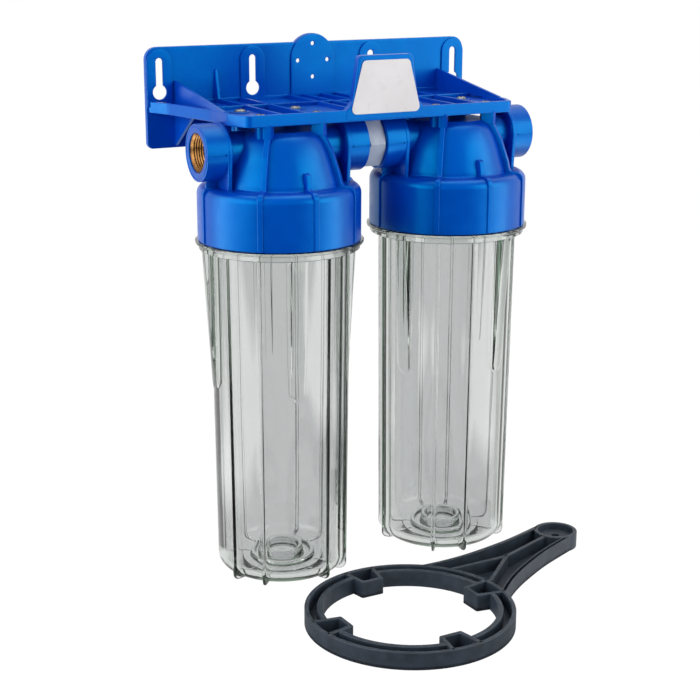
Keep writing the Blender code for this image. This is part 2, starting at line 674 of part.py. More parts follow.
def port_outside(side):
    """Boss, neck, web plate and small fin of one port; side is 1 towards +x or -1."""
    inside_web = PORT_WEB_NEAR + PORT_WEB_THICK / 2
    boss = cylinder(PORT_RADIUS, inside_web, PORT_REACH, SIDE, (0, 0, PORT_Z))
    neck = cylinder(PORT_NECK_RADIUS, PORT_NECK_INNER, PORT_REACH - PORT_LIP, SIDE, (0, 0, PORT_Z))
    low = CAP_SHOULDER_Z - FIN_SINK
    outline = [(-PORT_WEB_RADIUS, low), (PORT_WEB_RADIUS, low)]
    outline += arc(0, PORT_Z, PORT_WEB_RADIUS, 0, 180, 2 * SMALL_STEPS)
    web = prism(outline, PORT_WEB_NEAR, PORT_WEB_NEAR + PORT_WEB_THICK, SIDE)
    half = PORT_FIN_WIDTH / 2
    foot = CAP_SHOULDER_Z - CAP_SHOULDER_ROUND
    web_fin = box((inside_web, -half, foot - SINK), (PORT_FIN_REACH, half, PORT_Z - PORT_NECK_RADIUS))
    pieces = [boss, neck, web, web_fin]
    for piece in pieces:
        piece.data.transform(Matrix.Rotation(0 if side > 0 else math.pi, 4, "Z"))
    return pieces


def port_bores(side, inner_end):
    """What is cut from a port: its mouth, the pocket of the insert and the passage to its inner end."""
    pocket_out = PORT_REACH - PORT_LIP
    pocket_in = pocket_out - INSERT_LENGTH - 2 * SEAT_GAP
    move = (0, 0, PORT_Z)
    pieces = [
        cylinder(INSERT_BORE, pocket_out - CUT_OVERRUN, PORT_REACH + CUT_OVERRUN, SIDE, move),
        cylinder(INSERT_RADIUS + SEAT_GAP, pocket_in, pocket_out, SIDE, move),
        cylinder(PASSAGE_RADIUS, inner_end, pocket_in + CUT_OVERRUN, SIDE, move),
    ]
    for piece in pieces:
        piece.data.transform(Matrix.Rotation(0 if side > 0 else math.pi, 4, "Z"))
    return pieces


def screw_places():
    """Places of a cap's four screws round the unit's axis."""
    return [(x, y) for x in (-SCREW_X, SCREW_X) for y in (-SCREW_Y, SCREW_Y)]


def cap_cavity():
    """Space inside the cap round its spout, with the outlet pipe and the screw posts left standing."""
    spout_low = CAP_TOP - CAP_WALL - SPOUT_DROP
    profile = [(0, spout_low), (SPOUT_RADIUS, spout_low), (SPOUT_RADIUS, CAP_TOP - CAP_WALL)]
    profile += dome_profile(CAP_WALL)
    profile += [(DOME_RADIUS - CAP_WALL, CAP_SEAT), (CAP_BORE, CAP_SEAT)]
    profile += [(CAP_BORE, CAP_BOTTOM - CUT_OVERRUN), (0, CAP_BOTTOM - CUT_OVERRUN)]
    cavity = turned(profile)
    pipe_radius = PASSAGE_RADIUS + PASSAGE_WALL
    pipe = cylinder(pipe_radius, SPOUT_BORE + CUT_OVERRUN, PORT_WEB_NEAR, SIDE, (0, 0, PORT_Z))
    posts = [cylinder(BOSS_RADIUS, SCREW_POST_LOW, CAP_TOP, move=(x, y, 0), steps=SMALL_STEPS)
             for x, y in screw_places()]
    return cut(cavity, pipe, *posts)


def cap():
    """One cap at the origin, for both units."""
    body = join(cap_body(), *cap_fins(), *port_outside(-1), *port_outside(1))
    body = cut(body, cap_cavity())
    spout_low = CAP_TOP - CAP_WALL - SPOUT_DROP
    body = cut(body, cylinder(SPOUT_BORE, spout_low - CUT_OVERRUN, CAP_TOP - CAP_WALL))
    body = cut(body, *port_bores(-1, PASSAGE_INNER), *port_bores(1, 0))
    low = STRIP_TOP - SCREW_LENGTH
    for x, y in screw_places():
        radius, top = SCREW_SHANK_RADIUS + SEAT_GAP, CAP_TOP + CUT_OVERRUN
        body = cut(body, cylinder(radius, low, top, move=(x, y, 0), steps=SMALL_STEPS))
    start = SUMP_FLANGE_TOP + THREAD_START + THREAD_PITCH / 2
    crest = NECK_RADIUS + THREAD_CLEARANCE
    return join(body, thread_ridge(CAP_BORE + SINK, crest, start))


def port_insert(name, unit_x, side):
    """Brass insert of one port, with a waist that keys it into the cap."""
    waist = INSERT_RADIUS - INSERT_WAIST_DEPTH
    half = INSERT_WAIST_LENGTH / 2
    middle = INSERT_LENGTH / 2
    profile = [(INSERT_RADIUS, INSERT_LENGTH), (INSERT_RADIUS, middle + half), (waist, middle + half)]
    profile += [(waist, middle - half), (INSERT_RADIUS, middle - half), (INSERT_RADIUS, 0)]
    profile += [(INSERT_BORE, 0), (INSERT_BORE, INSERT_LENGTH)]
    body = turned(profile, True, steps=BORE_STEPS)
    inner = PORT_REACH - PORT_LIP - SEAT_GAP - INSERT_LENGTH
    centre = (unit_x + side * (inner + middle), 0, PORT_Z)
    turn = Matrix.Rotation(math.pi / 2, 4, "Y") @ Matrix.Translation((0, 0, -middle))
    body.data.transform(Matrix.Translation(centre) @ turn)
    return finish(body, name, BRASS, centre)


def hex_nipple():
    """Hexagonal nipple between the two inner ports."""
    half = UNIT_HALF - PORT_REACH - SEAT_GAP
    corner = NIPPLE_FLATS / math.sqrt(3)
    body = prism(arc(0, PORT_Z, corner, 0, 360, HEX_SIDES)[1:], -half, half, SIDE)
    reach = half + NIPPLE_SPIGOT
    body = join(body, cylinder(INSERT_BORE - SEAT_GAP, -reach, reach, SIDE, (0, 0, PORT_Z)))
    end = reach + CUT_OVERRUN
    body = cut(body, cylinder(NIPPLE_BORE, -end, end, SIDE, (0, 0, PORT_Z)))
    return finish(body, "hex_nipple", NYLON, (0, 0, PORT_Z))


def rounded(corners, radii):
    """Outline whose straight-sided corners are rounded by an arc of their own radius."""
    outline = []
    count = len(corners)
    for index, radius in enumerate(radii):
        here = Vector(corners[index])
        if not radius:
            outline.append(tuple(here))
            continue
        before = (Vector(corners[index - 1]) - here).normalized()
        after = (Vector(corners[(index + 1) % count]) - here).normalized()
        half_angle = before.angle(after) / 2
        centre = here + (before + after).normalized() * (radius / math.sin(half_angle))
        start = here + before * (radius / math.tan(half_angle)) - centre
        end = here + after * (radius / math.tan(half_angle)) - centre
        first = math.degrees(math.atan2(start.y, start.x))
        sweep = math.degrees(math.atan2(end.y, end.x)) - first
        sweep = (sweep + 180) % 360 - 180
        outline += arc(centre.x, centre.y, radius, first, first + sweep)
    return outline


def front_prism(outline, near, far):
    """Solid of an (x, z) outline between two depths along y."""
    return prism(outline, -far, -near, FRONT)


def arched(middle, half, low, top):
    """Outline of a strip with a half-round top."""
    return [(middle - half, low), (middle + half, low)] + arc(middle, top - half, half, 0, 180, 2 * ARC_STEPS)


def keyhole(middle):
    """Outline of a keyhole slot: a round mouth below and a narrow slot above."""
    slot, mouth = KEYHOLE_SLOT / 2, KEYHOLE_ROUND / 2
    neck = 90 + math.degrees(math.asin(slot / mouth))
    outline = arc(middle, KEYHOLE_TOP - slot, slot, 0, 180)
    return outline + arc(middle, KEYHOLE_BOTTOM + mouth, mouth, neck, 540 - neck, 3 * ARC_STEPS)


def back_plate():
    """Wall plate with its top tab and the raised pads round the keyholes and the tab's holes."""
    corner = PLATE_CORNER
    right, left = PLATE_HALF - corner, corner - PLATE_HALF
    low, high = PLATE_BOTTOM + corner, PLATE_TOP - corner
    tab_z = TAB_TOP - TAB_RADIUS
    rise = math.degrees(math.asin((PLATE_TOP - tab_z) / TAB_RADIUS))
    outline = arc(left, low, corner, 180, 270) + arc(right, low, corner, 270, 360)
    outline += arc(right, high, corner, 0, 90)
    outline += arc(0, tab_z, TAB_RADIUS, rise, 180 - rise, 2 * ARC_STEPS) + arc(left, high, corner, 90, 180)
    plate = front_prism(outline, PLATE_FRONT, PLATE_BACK)
    near, far = PLATE_FRONT - PAD_PROUD, PLATE_FRONT + SINK
    pads = [front_prism(arched(side * x, PAD_WIDTH / 2, SHELF_FLOOR, PAD_TOP), near, far)
            for side in (-1, 1) for x in KEYHOLE_X]
    tab_pad = arched(0, TAB_PAD_HALF, TAB_PAD_BOTTOM, TAB_TOP - TAB_RADIUS + TAB_PAD_HALF)
    return join(plate, *pads, front_prism(tab_pad, near, far))


def plate_holes():
    """Keyholes and the tab's four small holes."""
    near, far = PLATE_FRONT - PAD_PROUD - CUT_OVERRUN, PLATE_BACK + CUT_OVERRUN
    holes = [front_prism(keyhole(side * x), near, far) for side in (-1, 1) for x in KEYHOLE_X]
    for x, z in ((TAB_HOLE_RING, 0), (-TAB_HOLE_RING, 0), (0, TAB_HOLE_RING), (0, -TAB_HOLE_RING)):
        holes.append(cylinder(TAB_HOLE_RADIUS, -far, -near, FRONT, (x, 0, TAB_HOLE_Z + z), SMALL_STEPS))
    return holes


def shelf_outline():
    """Plan of the shelf, anticlockwise, its back edge inside the plate."""
    right = [
        (SHELF_FRONT_HALF, SHELF_FRONT),
        (SHELF_SIDE_HALF, SHELF_CORNER_Y),
        (SHELF_SIDE_HALF, SHELF_FLARE_Y),
        (SHELF_FLARE_HALF, SHELF_FLARE_END_Y),
        (PLATE_HALF - SINK, PLATE_FRONT + LIP_WALL),
    ]
    return right + [(-x, y) for x, y in reversed(right)]


def shelf():
    """Ribbed tray that the caps hang under: lip, floor, ribs and recesses."""
    outline = shelf_outline()
    inner = inset(outline, LIP_WALL)
    tray = prism(outline, LIP_BOTTOM, LIP_TOP)
    tray = cut(tray, prism(inner, LIP_BOTTOM - CUT_OVERRUN, LIP_TOP + CUT_OVERRUN))
    tray = join(tray, prism(inset(outline, LIP_WALL - SINK), SHELF_UNDERSIDE, STRIP_TOP))
    front, back, half = SHELF_FRONT + LIP_WALL - SINK, PLATE_FRONT + SINK, SHELF_RIB / 2
    near, far = front + SINK, SHELF_CROSS_Y - half
    spans = [(-SHELF_RIB_X[0], SHELF_RIB_X[0])]
    for side in (-1, 1):
        spans += [sorted((side * SHELF_RIB_X[index], side * SHELF_RIB_X[index + 1])) for index in (0, 2)]
    for low, high in spans:
        tray = cut(tray, box((low + half, near, SHELF_FLOOR), (high - half, far, STRIP_TOP + CUT_OVERRUN)))
    floor, top = STRIP_TOP - SINK, LIP_TOP - SHELF_RIB_DROP
    ribs = [box((x - half, front, floor), (x + half, back, top)) for x in SHELF_RIB_X]
    ribs += [box((-x - half, front, floor), (half - x, back, top)) for x in SHELF_RIB_X]
    reach = SHELF_SIDE_HALF - LIP_WALL + SINK
    top -= SHELF_RIB_DROP
    ribs.append(box((-reach, SHELF_CROSS_Y - half, floor), (reach, SHELF_CROSS_Y + half, top)))
    return join(tray, *ribs)


def gussets():
    """End gussets above and below the shelf and the small ones on the plate."""
    back = PLATE_FRONT + SINK
    tall = [(back, GUSSET_TOP), (GUSSET_NOSE_Y, LIP_TOP + GUSSET_NOSE_RISE)]
    tall += [(GUSSET_NOSE_Y, LIP_TOP - SINK), (back, SHELF_FLOOR)]
    low = [(back, PLATE_BOTTOM + SINK), (back, SHELF_FLOOR), (LOW_GUSSET_Y, SHELF_FLOOR)]
    foot = PLATE_FRONT - SMALL_GUSSET_FOOT
    small = [(back, SMALL_GUSSET_TOP), (PLATE_FRONT - SMALL_GUSSET_TIP, SMALL_GUSSET_TOP)]
    small += [(foot, LIP_TOP), (foot, SHELF_FLOOR), (back, SHELF_FLOOR)]
    inner = SHELF_SIDE_HALF - GUSSET
    half = SMALL_GUSSET / 2
    pieces = [*mirrored(prism(tall, inner, SHELF_SIDE_HALF, SIDE))]
    pieces += mirrored(prism(low, inner, SHELF_SIDE_HALF, SIDE))
    pieces += mirrored(prism(small, SMALL_GUSSET_X - half, SMALL_GUSSET_X + half, SIDE))
    return pieces


def badge():
    """Upright shield on the front lip, open behind its rim."""
    foot = LIP_BOTTOM + SINK
    corners = [(-BADGE_FOOT_HALF, foot), (BADGE_FOOT_HALF, foot), (BADGE_FOOT_HALF, LIP_TOP)]
    corners += [(BADGE_TOP_HALF, BADGE_TOP), (-BADGE_TOP_HALF, BADGE_TOP), (-BADGE_FOOT_HALF, LIP_TOP)]
    radii = (0, 0, 0, BADGE_CORNER, BADGE_CORNER, 0)
    shield = front_prism(rounded(corners, radii), SHELF_FRONT, SHELF_FRONT + BADGE_DEPTH)
    pocket = inset([corners[5], corners[2], corners[3], corners[4]], BADGE_WALL)
    back = SHELF_FRONT + BADGE_DEPTH
    return cut(shield, front_prism(pocket, SHELF_FRONT + BADGE_WALL, back + CUT_OVERRUN))


def all_screws():
    """Places of the eight bracket screws."""
    return [(side * UNIT_HALF + x, y) for side in (-1, 1) for x, y in screw_places()]


def bracket():
    """Wall bracket: back plate, shelf, gussets, badge and the bosses that meet the caps."""
    body = join(back_plate(), shelf(), *gussets(), badge())
    low = CAP_TOP + SEAT_GAP
    for x, y in all_screws():
        body = join(body, cylinder(BOSS_RADIUS, low, STRIP_TOP - SINK, move=(x, y, 0), steps=SMALL_STEPS))
    radius = SCREW_SHANK_RADIUS + SEAT_GAP
    for x, y in all_screws():
        hole = cylinder(radius, low - CUT_OVERRUN, STRIP_TOP + CUT_OVERRUN, move=(x, y, 0), steps=SMALL_STEPS)
        body = cut(body, hole)
    return finish(cut(body, *plate_holes()), "bracket", BLUE)


def label_plate():
    """Bare label plate on the badge."""
    corners = [(-LABEL_FOOT_HALF, LABEL_BOTTOM), (LABEL_FOOT_HALF, LABEL_BOTTOM)]
    corners += [(LABEL_TOP_HALF, LABEL_TOP), (-LABEL_TOP_HALF, LABEL_TOP)]
    far = SHELF_FRONT - SEAT_GAP
    plate = front_prism(rounded(corners, [LABEL_CORNER] * len(corners)), far - LABEL_THICK, far)
    return finish(plate, "label_plate", WHITE)


def bracket_screw(index, x, y):
    """Pan-head screw through the shelf into a cap."""
    seat = STRIP_TOP + SEAT_GAP
    top = seat + SCREW_HEAD_HEIGHT
    low = seat - SCREW_LENGTH
    crown = SCREW_HEAD_RADIUS - SCREW_HEAD_HEIGHT / 2
    profile = [(0, top), (crown, top), (SCREW_HEAD_RADIUS, top - SCREW_HEAD_HEIGHT / 2)]
    profile += [(SCREW_HEAD_RADIUS, seat), (SCREW_SHANK_RADIUS, seat), (SCREW_SHANK_RADIUS, low), (0, low)]
    move = (x, y, 0)
    return finish(turned(profile, steps=SMALL_STEPS, move=move), f"bracket_screw_{index}", STEEL, move)


def handle_outline(shift):
    """Plan of the wrench's handle along its own axis, its sides moved inwards by a shift."""
    sides = [(CUP_REACH * reach, HANDLE_HALF * width - shift) for reach, width in HANDLE_SHARES]
    end = (CUP_REACH, HANDLE_HALF - shift)
    upper = sides + [end]
    return [(x, -y) for x, y in upper] + list(reversed(upper))


def channel(inner, outer):
    """Open-topped ring cut out of the wrench between two radii."""
    top = WRENCH_HEIGHT + CUT_OVERRUN
    profile = [(outer, top), (outer, WRENCH_FLOOR), (inner, WRENCH_FLOOR), (inner, top)]
    return turned(profile, True)


def lug_block(near, far, half_angle, low, high, angle):
    """Block across the wrench's ring whose sides run out from the ring's centre."""
    near_half, far_half = near * math.tan(half_angle), far * math.tan(half_angle)
    outline = [(near, -near_half), (far, -far_half), (far, far_half), (near, near_half)]
    block = prism(outline, low, high)
    block.data.transform(Matrix.Rotation(angle, 4, "Z"))
    return block


def wrench():
    """Sump wrench: channelled ring with four hollow lugs and a ribbed handle that ends in a cup."""
    lugs = [LUG_FIRST_ANGLE + index * math.tau / LUG_COUNT for index in range(LUG_COUNT)]
    inner, outer = WRENCH_INNER + WRENCH_INNER_WALL, WRENCH_RADIUS - WRENCH_WALL
    ring = channel(inner, outer)
    rim = outer + SINK
    for angle in lugs:
        ring = cut(ring, lug_block(LUG_FACE, rim, LUG_HALF_ANGLE, 0, WRENCH_HEIGHT + 2 * CUT_OVERRUN, angle))
    profile = [(WRENCH_RADIUS, WRENCH_HEIGHT), (WRENCH_RADIUS, 0)]
    profile += [(WRENCH_INNER, 0), (WRENCH_INNER, WRENCH_HEIGHT)]
    hoop = turned(profile, True)
    turn = Matrix.Rotation(HANDLE_ANGLE, 4, "Z")
    handle = prism(handle_outline(0), 0, WRENCH_HEIGHT)
    handle = join(handle, cylinder(CUP_RADIUS, 0, WRENCH_HEIGHT, move=(CUP_REACH, 0, 0)))
    handle = cut(handle, cylinder(inner, -CUT_OVERRUN, WRENCH_HEIGHT + CUT_OVERRUN, steps=ROUND_STEPS))
    hollow = prism(handle_outline(WRENCH_WALL), WRENCH_FLOOR, WRENCH_HEIGHT + CUT_OVERRUN)
    keep = [cylinder(WRENCH_RADIUS, 0, WRENCH_HEIGHT + 2 * CUT_OVERRUN, steps=ROUND_STEPS)]
    keep.append(cylinder(CUP_RADIUS, 0, WRENCH_HEIGHT + 2 * CUT_OVERRUN, move=(CUP_REACH, 0, 0)))
    keep += handle_ribs()
    handle = cut(handle, cut(hollow, *keep))
    cup = (CUP_REACH, 0, 0)
    handle = cut(handle, cylinder(CUP_RADIUS - CUP_WALL, CUP_FLOOR, WRENCH_HEIGHT + CUT_OVERRUN, move=cup))
    handle = cut(handle, cylinder(CUP_HOLE, -CUT_OVERRUN, WRENCH_HEIGHT, move=cup, steps=SMALL_STEPS))
    handle.data.transform(turn)
    body = join(hoop, handle)
    for angle in lugs:
        body = join(body, lug_block(LUG_FACE, inner, LUG_HALF_ANGLE, 0, WRENCH_HEIGHT, angle))
    body = cut(body, ring)
    for angle in lugs:
        near = LUG_FACE + LUG_WALL
        half_angle = LUG_HALF_ANGLE - LUG_WALL / inner
        body = cut(body, lug_block(near, outer, half_angle, WRENCH_FLOOR, WRENCH_HEIGHT + CUT_OVERRUN, angle))
    centre = (WRENCH_X, WRENCH_Y, 0)
    body.data.transform(Matrix.Translation(centre))
    return finish(body, "housing_wrench", DARK, centre)


def handle_ribs():
    """Centre rib of the handle and the two branches that it splits into towards the ring."""
    half = HANDLE_RIB / 2
    top = WRENCH_HEIGHT + 2 * CUT_OVERRUN
    ribs = [box((BRANCH_REACH, -half, 0), (CUP_REACH, half, top))]
    for side in (-1, 1):
        foot = (WRENCH_RADIUS - WRENCH_WALL, side * BRANCH_SPREAD)
        outline = [(BRANCH_REACH + half, -half), (BRANCH_REACH + half, half)]
        outline += [(foot[0], foot[1] + half), (foot[0], foot[1] - half)]
        ribs.append(prism(outline, 0, top))
    return ribs


clear_scene()
PARTS = new_collection("water_filter")
CUTTERS = new_collection("cutters")
BLUE = new_material("blue_polypropylene", (0.005, 0.13, 0.60), 0.35)
CLEAR = new_material("clear_styrene", (0.80, 0.85, 0.82), 0.08, alpha=0.3)
BRASS = new_material("brass", (0.60, 0.38, 0.14), 0.3, metallic=1.0)
NYLON = new_material("white_nylon", (0.72, 0.76, 0.80), 0.45)
RUBBER = new_material("black_rubber", (0.02, 0.02, 0.02), 0.7)
STEEL = new_material("plated_steel", (0.60, 0.58, 0.54), 0.25, metallic=1.0)
WHITE = new_material("white_label", (0.80, 0.78, 0.79), 0.4)
DARK = new_material("charcoal_nylon", (0.055, 0.066, 0.085), 0.5)
ORIGIN = bpy.data.objects.new("origin", None)
ORIGIN.location = (-ORIGIN_X, -ORIGIN_Y, 0)
PARTS.objects.link(ORIGIN)

bracket()
label_plate()
cap_left = cap()
cap_right = duplicate(cap_left)
for tool, side, name in ((cap_left, -1, "cap_left"), (cap_right, 1, "cap_right")):
    tool.data.transform(Matrix.Translation((side * UNIT_HALF, 0, 0)))
    finish(tool, name, BLUE, (side * UNIT_HALF, 0, 0))
for side, unit in ((-1, "left"), (1, "right")):
    unit_x = side * UNIT_HALF
    sump(f"sump_{unit}", unit_x, LEFT_RIB_ANGLE if side < 0 else RIGHT_RIB_ANGLE)
    o_ring(f"o_ring_{unit}", unit_x)
    port_insert(f"inlet_insert_{unit}", unit_x, -1)
    port_insert(f"outlet_insert_{unit}", unit_x, 1)
hex_nipple()
for number, (screw_x, screw_y) in enumerate(all_screws(), 1):
    bracket_screw(number, screw_x, screw_y)
wrench()
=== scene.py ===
"""Looks of a twin water filter: blue caps and bracket, clear sumps, brass ports and the wrench."""
import logging
import math
from dataclasses import dataclass
from enum import Enum
from typing import Iterable, Optional, Sequence

import bmesh
import bpy
from mathutils import Matrix, Vector


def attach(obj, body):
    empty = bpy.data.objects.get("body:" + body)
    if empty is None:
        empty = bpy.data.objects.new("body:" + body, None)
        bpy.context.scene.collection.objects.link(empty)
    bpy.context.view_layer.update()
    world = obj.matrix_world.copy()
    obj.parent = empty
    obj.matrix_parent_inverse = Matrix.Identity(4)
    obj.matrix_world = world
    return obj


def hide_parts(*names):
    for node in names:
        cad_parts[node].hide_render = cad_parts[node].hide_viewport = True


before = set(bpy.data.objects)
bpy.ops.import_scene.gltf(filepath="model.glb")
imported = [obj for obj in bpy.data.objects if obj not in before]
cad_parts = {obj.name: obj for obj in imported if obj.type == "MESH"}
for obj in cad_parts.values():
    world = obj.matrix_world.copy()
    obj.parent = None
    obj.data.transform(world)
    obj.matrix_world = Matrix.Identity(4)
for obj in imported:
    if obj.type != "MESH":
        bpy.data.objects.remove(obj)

LOG = logging.getLogger("water_filter")
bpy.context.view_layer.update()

Mesh = bpy.types.Mesh
Material = bpy.types.Material
Node = bpy.types.Node
Tree = bpy.types.NodeTree
Socket = bpy.types.NodeSocket
Item = bpy.types.Object

MATH = "ShaderNodeMath"
WHITE = (1.0, 1.0, 1.0, 1.0)

Point = tuple[float, float]
Triple = tuple[float, float, float]
Outline = list[Point]

# Shapes are drawn in millimetres: x = 0 midway between the units, y = 0 on their axes and
# z = 0 at the lowest point.
MM = 0.001
# Axes of the units, height of the ports and the screws' places round a unit's axis.
UNIT_X = 69.5
PORT_Z = 312.6
SCREW_X, SCREW_Y = 21.5, 17.0
# From the drawing's zero to the frame's.
SHIFT = Vector((-7.5778, 59.7, 0.0))
TO_FRAME = Matrix.Scale(MM, 4) @ Matrix.Translation(SHIFT)

# Points closer than this are one.
WELD = 0.002
# Noise hardly leaves this range.
NOISE_LOW, NOISE_HIGH = 0.3, 0.7
# The same along all three axes.
EVEN = (1.0, 1.0, 1.0)


class Body(Enum):
    """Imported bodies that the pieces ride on."""

    HEAD = "filter_head"
    SUMP_LEFT = "sump_left_body"
    SUMP_RIGHT = "sump_right_body"
    RING_LEFT = "ring_left_body"
    RING_RIGHT = "ring_right_body"
    WRENCH = "wrench_body"


class Plane(Enum):
    """Planes that an outline is drawn in: its own x, its own y and the way its thickness runs."""

    PLAN = ((1, 0, 0), (0, 1, 0), (0, 0, 1))
    FRONT = ((1, 0, 0), (0, 0, 1), (0, -1, 0))
    SIDE = ((0, 1, 0), (0, 0, 1), (1, 0, 0))


class Side(Enum):
    """The two filter units."""

    LEFT = -1
    RIGHT = 1

    @property
    def word(self) -> str:
        """The side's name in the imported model."""
        return self.name.lower()


def axes_matrix(axes: Sequence[Sequence[float]], offset: float = 0.0) -> Matrix:
    """Matrix from three axes.

    Args:
        axes: The images of x, y and z.
        offset: Distance along the third axis.

    Returns:
        The transform.
    """
    along, up, out = (Vector(axis) for axis in axes)
    matrix = Matrix((along, up, out)).transposed().to_4x4()
    matrix.translation = out * offset
    return matrix


def at(x: float = 0.0, y: float = 0.0, z: float = 0.0) -> Matrix:
    """Shift by millimetres."""
    return Matrix.Translation((x, y, z))


def screw_places(unit_x: float, z: float = 0.0) -> list[Triple]:
    """Places of the four screws over a unit."""
    return [(unit_x + x, y, z) for x in (-SCREW_X, SCREW_X) for y in (-SCREW_Y, SCREW_Y)]


def radial_axes(angle: float) -> tuple[tuple[float, ...], ...]:
    """Axes of a (radius, z) outline that stands at an angle round a unit.

    Args:
        angle: Radians from the front towards +x.

    Returns:
        The three axes for axes_matrix.
    """
    out = (math.sin(angle), -math.cos(angle), 0.0)
    return out, (0.0, 0.0, 1.0), (-math.cos(angle), -math.sin(angle), 0.0)


# Outlines


def arc(centre: Point, radius: float, start: float, end: float, steps: int) -> Outline:
    """Points of an arc.

    Args:
        centre: Middle of the arc.
        radius: Its radius.
        start: First angle in degrees.
        end: Last angle in degrees.
        steps: Number of chords.

    Returns:
        steps + 1 points.
    """
    points = []
    for step in range(steps + 1):
        angle = math.radians(start + (end - start) * step / steps)
        points.append((centre[0] + radius * math.cos(angle), centre[1] + radius * math.sin(angle)))
    return points


def circle(centre: Point, radius: float, steps: int) -> Outline:
    """Corners of a circle."""
    return arc(centre, radius, 0, 360, steps)[:-1]


def box(low: Point, high: Point) -> Outline:
    """Corners of a rectangle."""
    return [low, (high[0], low[1]), high, (low[0], high[1])]


def fillet(points: Sequence[Sequence[float]], steps: int, closed: bool = True) -> Outline:
    """Rounds the corners of a chain of points.

    Args:
        points: (x, y) or (x, y, radius) corners; without a radius a corner stays sharp.
        steps: Chords in each rounded corner.
        closed: Whether the last point joins the first.

    Returns:
        The rounded chain.
    """
    result: Outline = []
    count = len(points)
    for index, corner in enumerate(points):
        here = Vector(corner[:2])
        radius = corner[2] if len(corner) > 2 else 0.0
        if not radius or (not closed and index in (0, count - 1)):
            result.append((here.x, here.y))
            continue
        before = Vector(points[index - 1][:2]) - here
        after = Vector(points[(index + 1) % count][:2]) - here
        half = before.angle(after) / 2
        reach = min(radius / math.tan(half), 0.49 * before.length, 0.49 * after.length)
        if half > math.radians(88) or reach <= 0:
            result.append((here.x, here.y))
            continue
        before.normalize()
        after.normalize()
        real = reach * math.tan(half)
        middle = here + (before + after).normalized() * (real / math.sin(half))
        first = here + before * reach - middle
        last = here + after * reach - middle
        start = math.degrees(math.atan2(first.y, first.x))
        sweep = (math.degrees(math.atan2(last.y, last.x)) - start + 180) % 360 - 180
        result += arc((middle.x, middle.y), real, start, start + sweep, steps)
    return result


def smooth_chain(points: Sequence[Point], steps: int) -> Outline:
    """Smooth curve through points, for domes and handles.

    Args:
        points: Points that the curve passes through.
        steps: Chords between two points.

    Returns:
        The curve with its first and last point kept.
    """
    chain = [Vector(point) for point in points]
    chain = [2 * chain[0] - chain[1]] + chain + [2 * chain[-1] - chain[-2]]
    result: Outline = []
    for index in range(1, len(chain) - 2):
        a, b, c, d = chain[index - 1:index + 3]
        for step in range(steps):
            t = step / steps
            point = 0.5 * (2 * b + (c - a) * t + (2 * a - 5 * b + 4 * c - d) * t * t
                           + (3 * b - a - 3 * c + d) * t * t * t)
            result.append((point.x, point.y))
    return result + [(chain[-2].x, chain[-2].y)]


def inset(outline: Sequence[Point], distance: float) -> Outline:
    """Moves a straight-sided outline inwards.

    Args:
        outline: Anticlockwise corners.
        distance: How far every side moves.

    Returns:
        The new corners.
    """
    moved: Outline = []
    for index, corner in enumerate(outline):
        here = Vector(corner)
        first = (here - Vector(outline[index - 1])).normalized()
        second = (Vector(outline[(index + 1) % len(outline)]) - here).normalized()
        one, two = Vector((-first.y, first.x)), Vector((-second.y, second.x))
        point = here + (one + two) * (distance / (1 + one.dot(two)))
        moved.append((point.x, point.y))
    return moved


# Meshes


def mesh_from(vertices: Iterable[Sequence[float]], faces: Iterable[Sequence[int]]) -> Mesh:
    """Mesh of vertices and faces with its doubles merged and its faces turned out.

    Args:
        vertices: Places in millimetres.
        faces: Vertex numbers of each face.

    Returns:
        The mesh.
    """
    mesh = bpy.data.meshes.new("shell")
    mesh.from_pydata([tuple(vertex) for vertex in vertices], [], [tuple(face) for face in faces])
    return cleaned(mesh)


def cleaned(mesh: Mesh) -> Mesh:
    """Merges doubles, removes slivers and turns the faces out.

    Args:
        mesh: The mesh, changed in place.

    Returns:
        The same mesh.
    """
    work = bmesh.new()
    work.from_mesh(mesh)
    bmesh.ops.remove_doubles(work, verts=work.verts, dist=WELD)
    bmesh.ops.dissolve_degenerate(work, edges=work.edges, dist=WELD / 4)
    bmesh.ops.recalc_face_normals(work, faces=work.faces)
    work.to_mesh(mesh)
    work.free()
    return mesh


def evaluated(item: Item) -> Mesh:
    """Turns an object with its modifiers into a plain mesh and removes the object.

    Args:
        item: The object.

    Returns:
        The plain mesh.
    """
    bpy.context.view_layer.update()
    graph = bpy.context.evaluated_depsgraph_get()
    mesh = bpy.data.meshes.new_from_object(item.evaluated_get(graph))
    bpy.data.objects.remove(item, do_unlink=True)
    return mesh


def temporary(data: bpy.types.ID) -> Item:
    """Puts a mesh or curve in the scene for a moment.

    Args:
        data: The mesh or curve.

    Returns:
        The object that holds it.
    """
    item = bpy.data.objects.new("temporary", data)
    bpy.context.scene.collection.objects.link(item)
    return item


def turned(profile: Sequence[Point], steps: int, closed: bool = False) -> Mesh:
    """Turns a (radius, z) profile round z.

    Args:
        profile: Points of the half section.
        steps: Number of sectors.
        closed: Whether the last point joins the first.

    Returns:
        The turned mesh.
    """
    vertices = []
    for row in range(steps):
        angle = math.radians(360.0 * row / steps)
        vertices += [(r * math.sin(angle), -r * math.cos(angle), z) for r, z in profile]
    count = len(profile)
    faces = []
    for row in range(steps):
        a, b = row * count, (row + 1) % steps * count
        for index in range(count if closed else count - 1):
            after = (index + 1) % count
            faces.append((a + index, b + index, b + after, a + after))
    return mesh_from(vertices, faces)


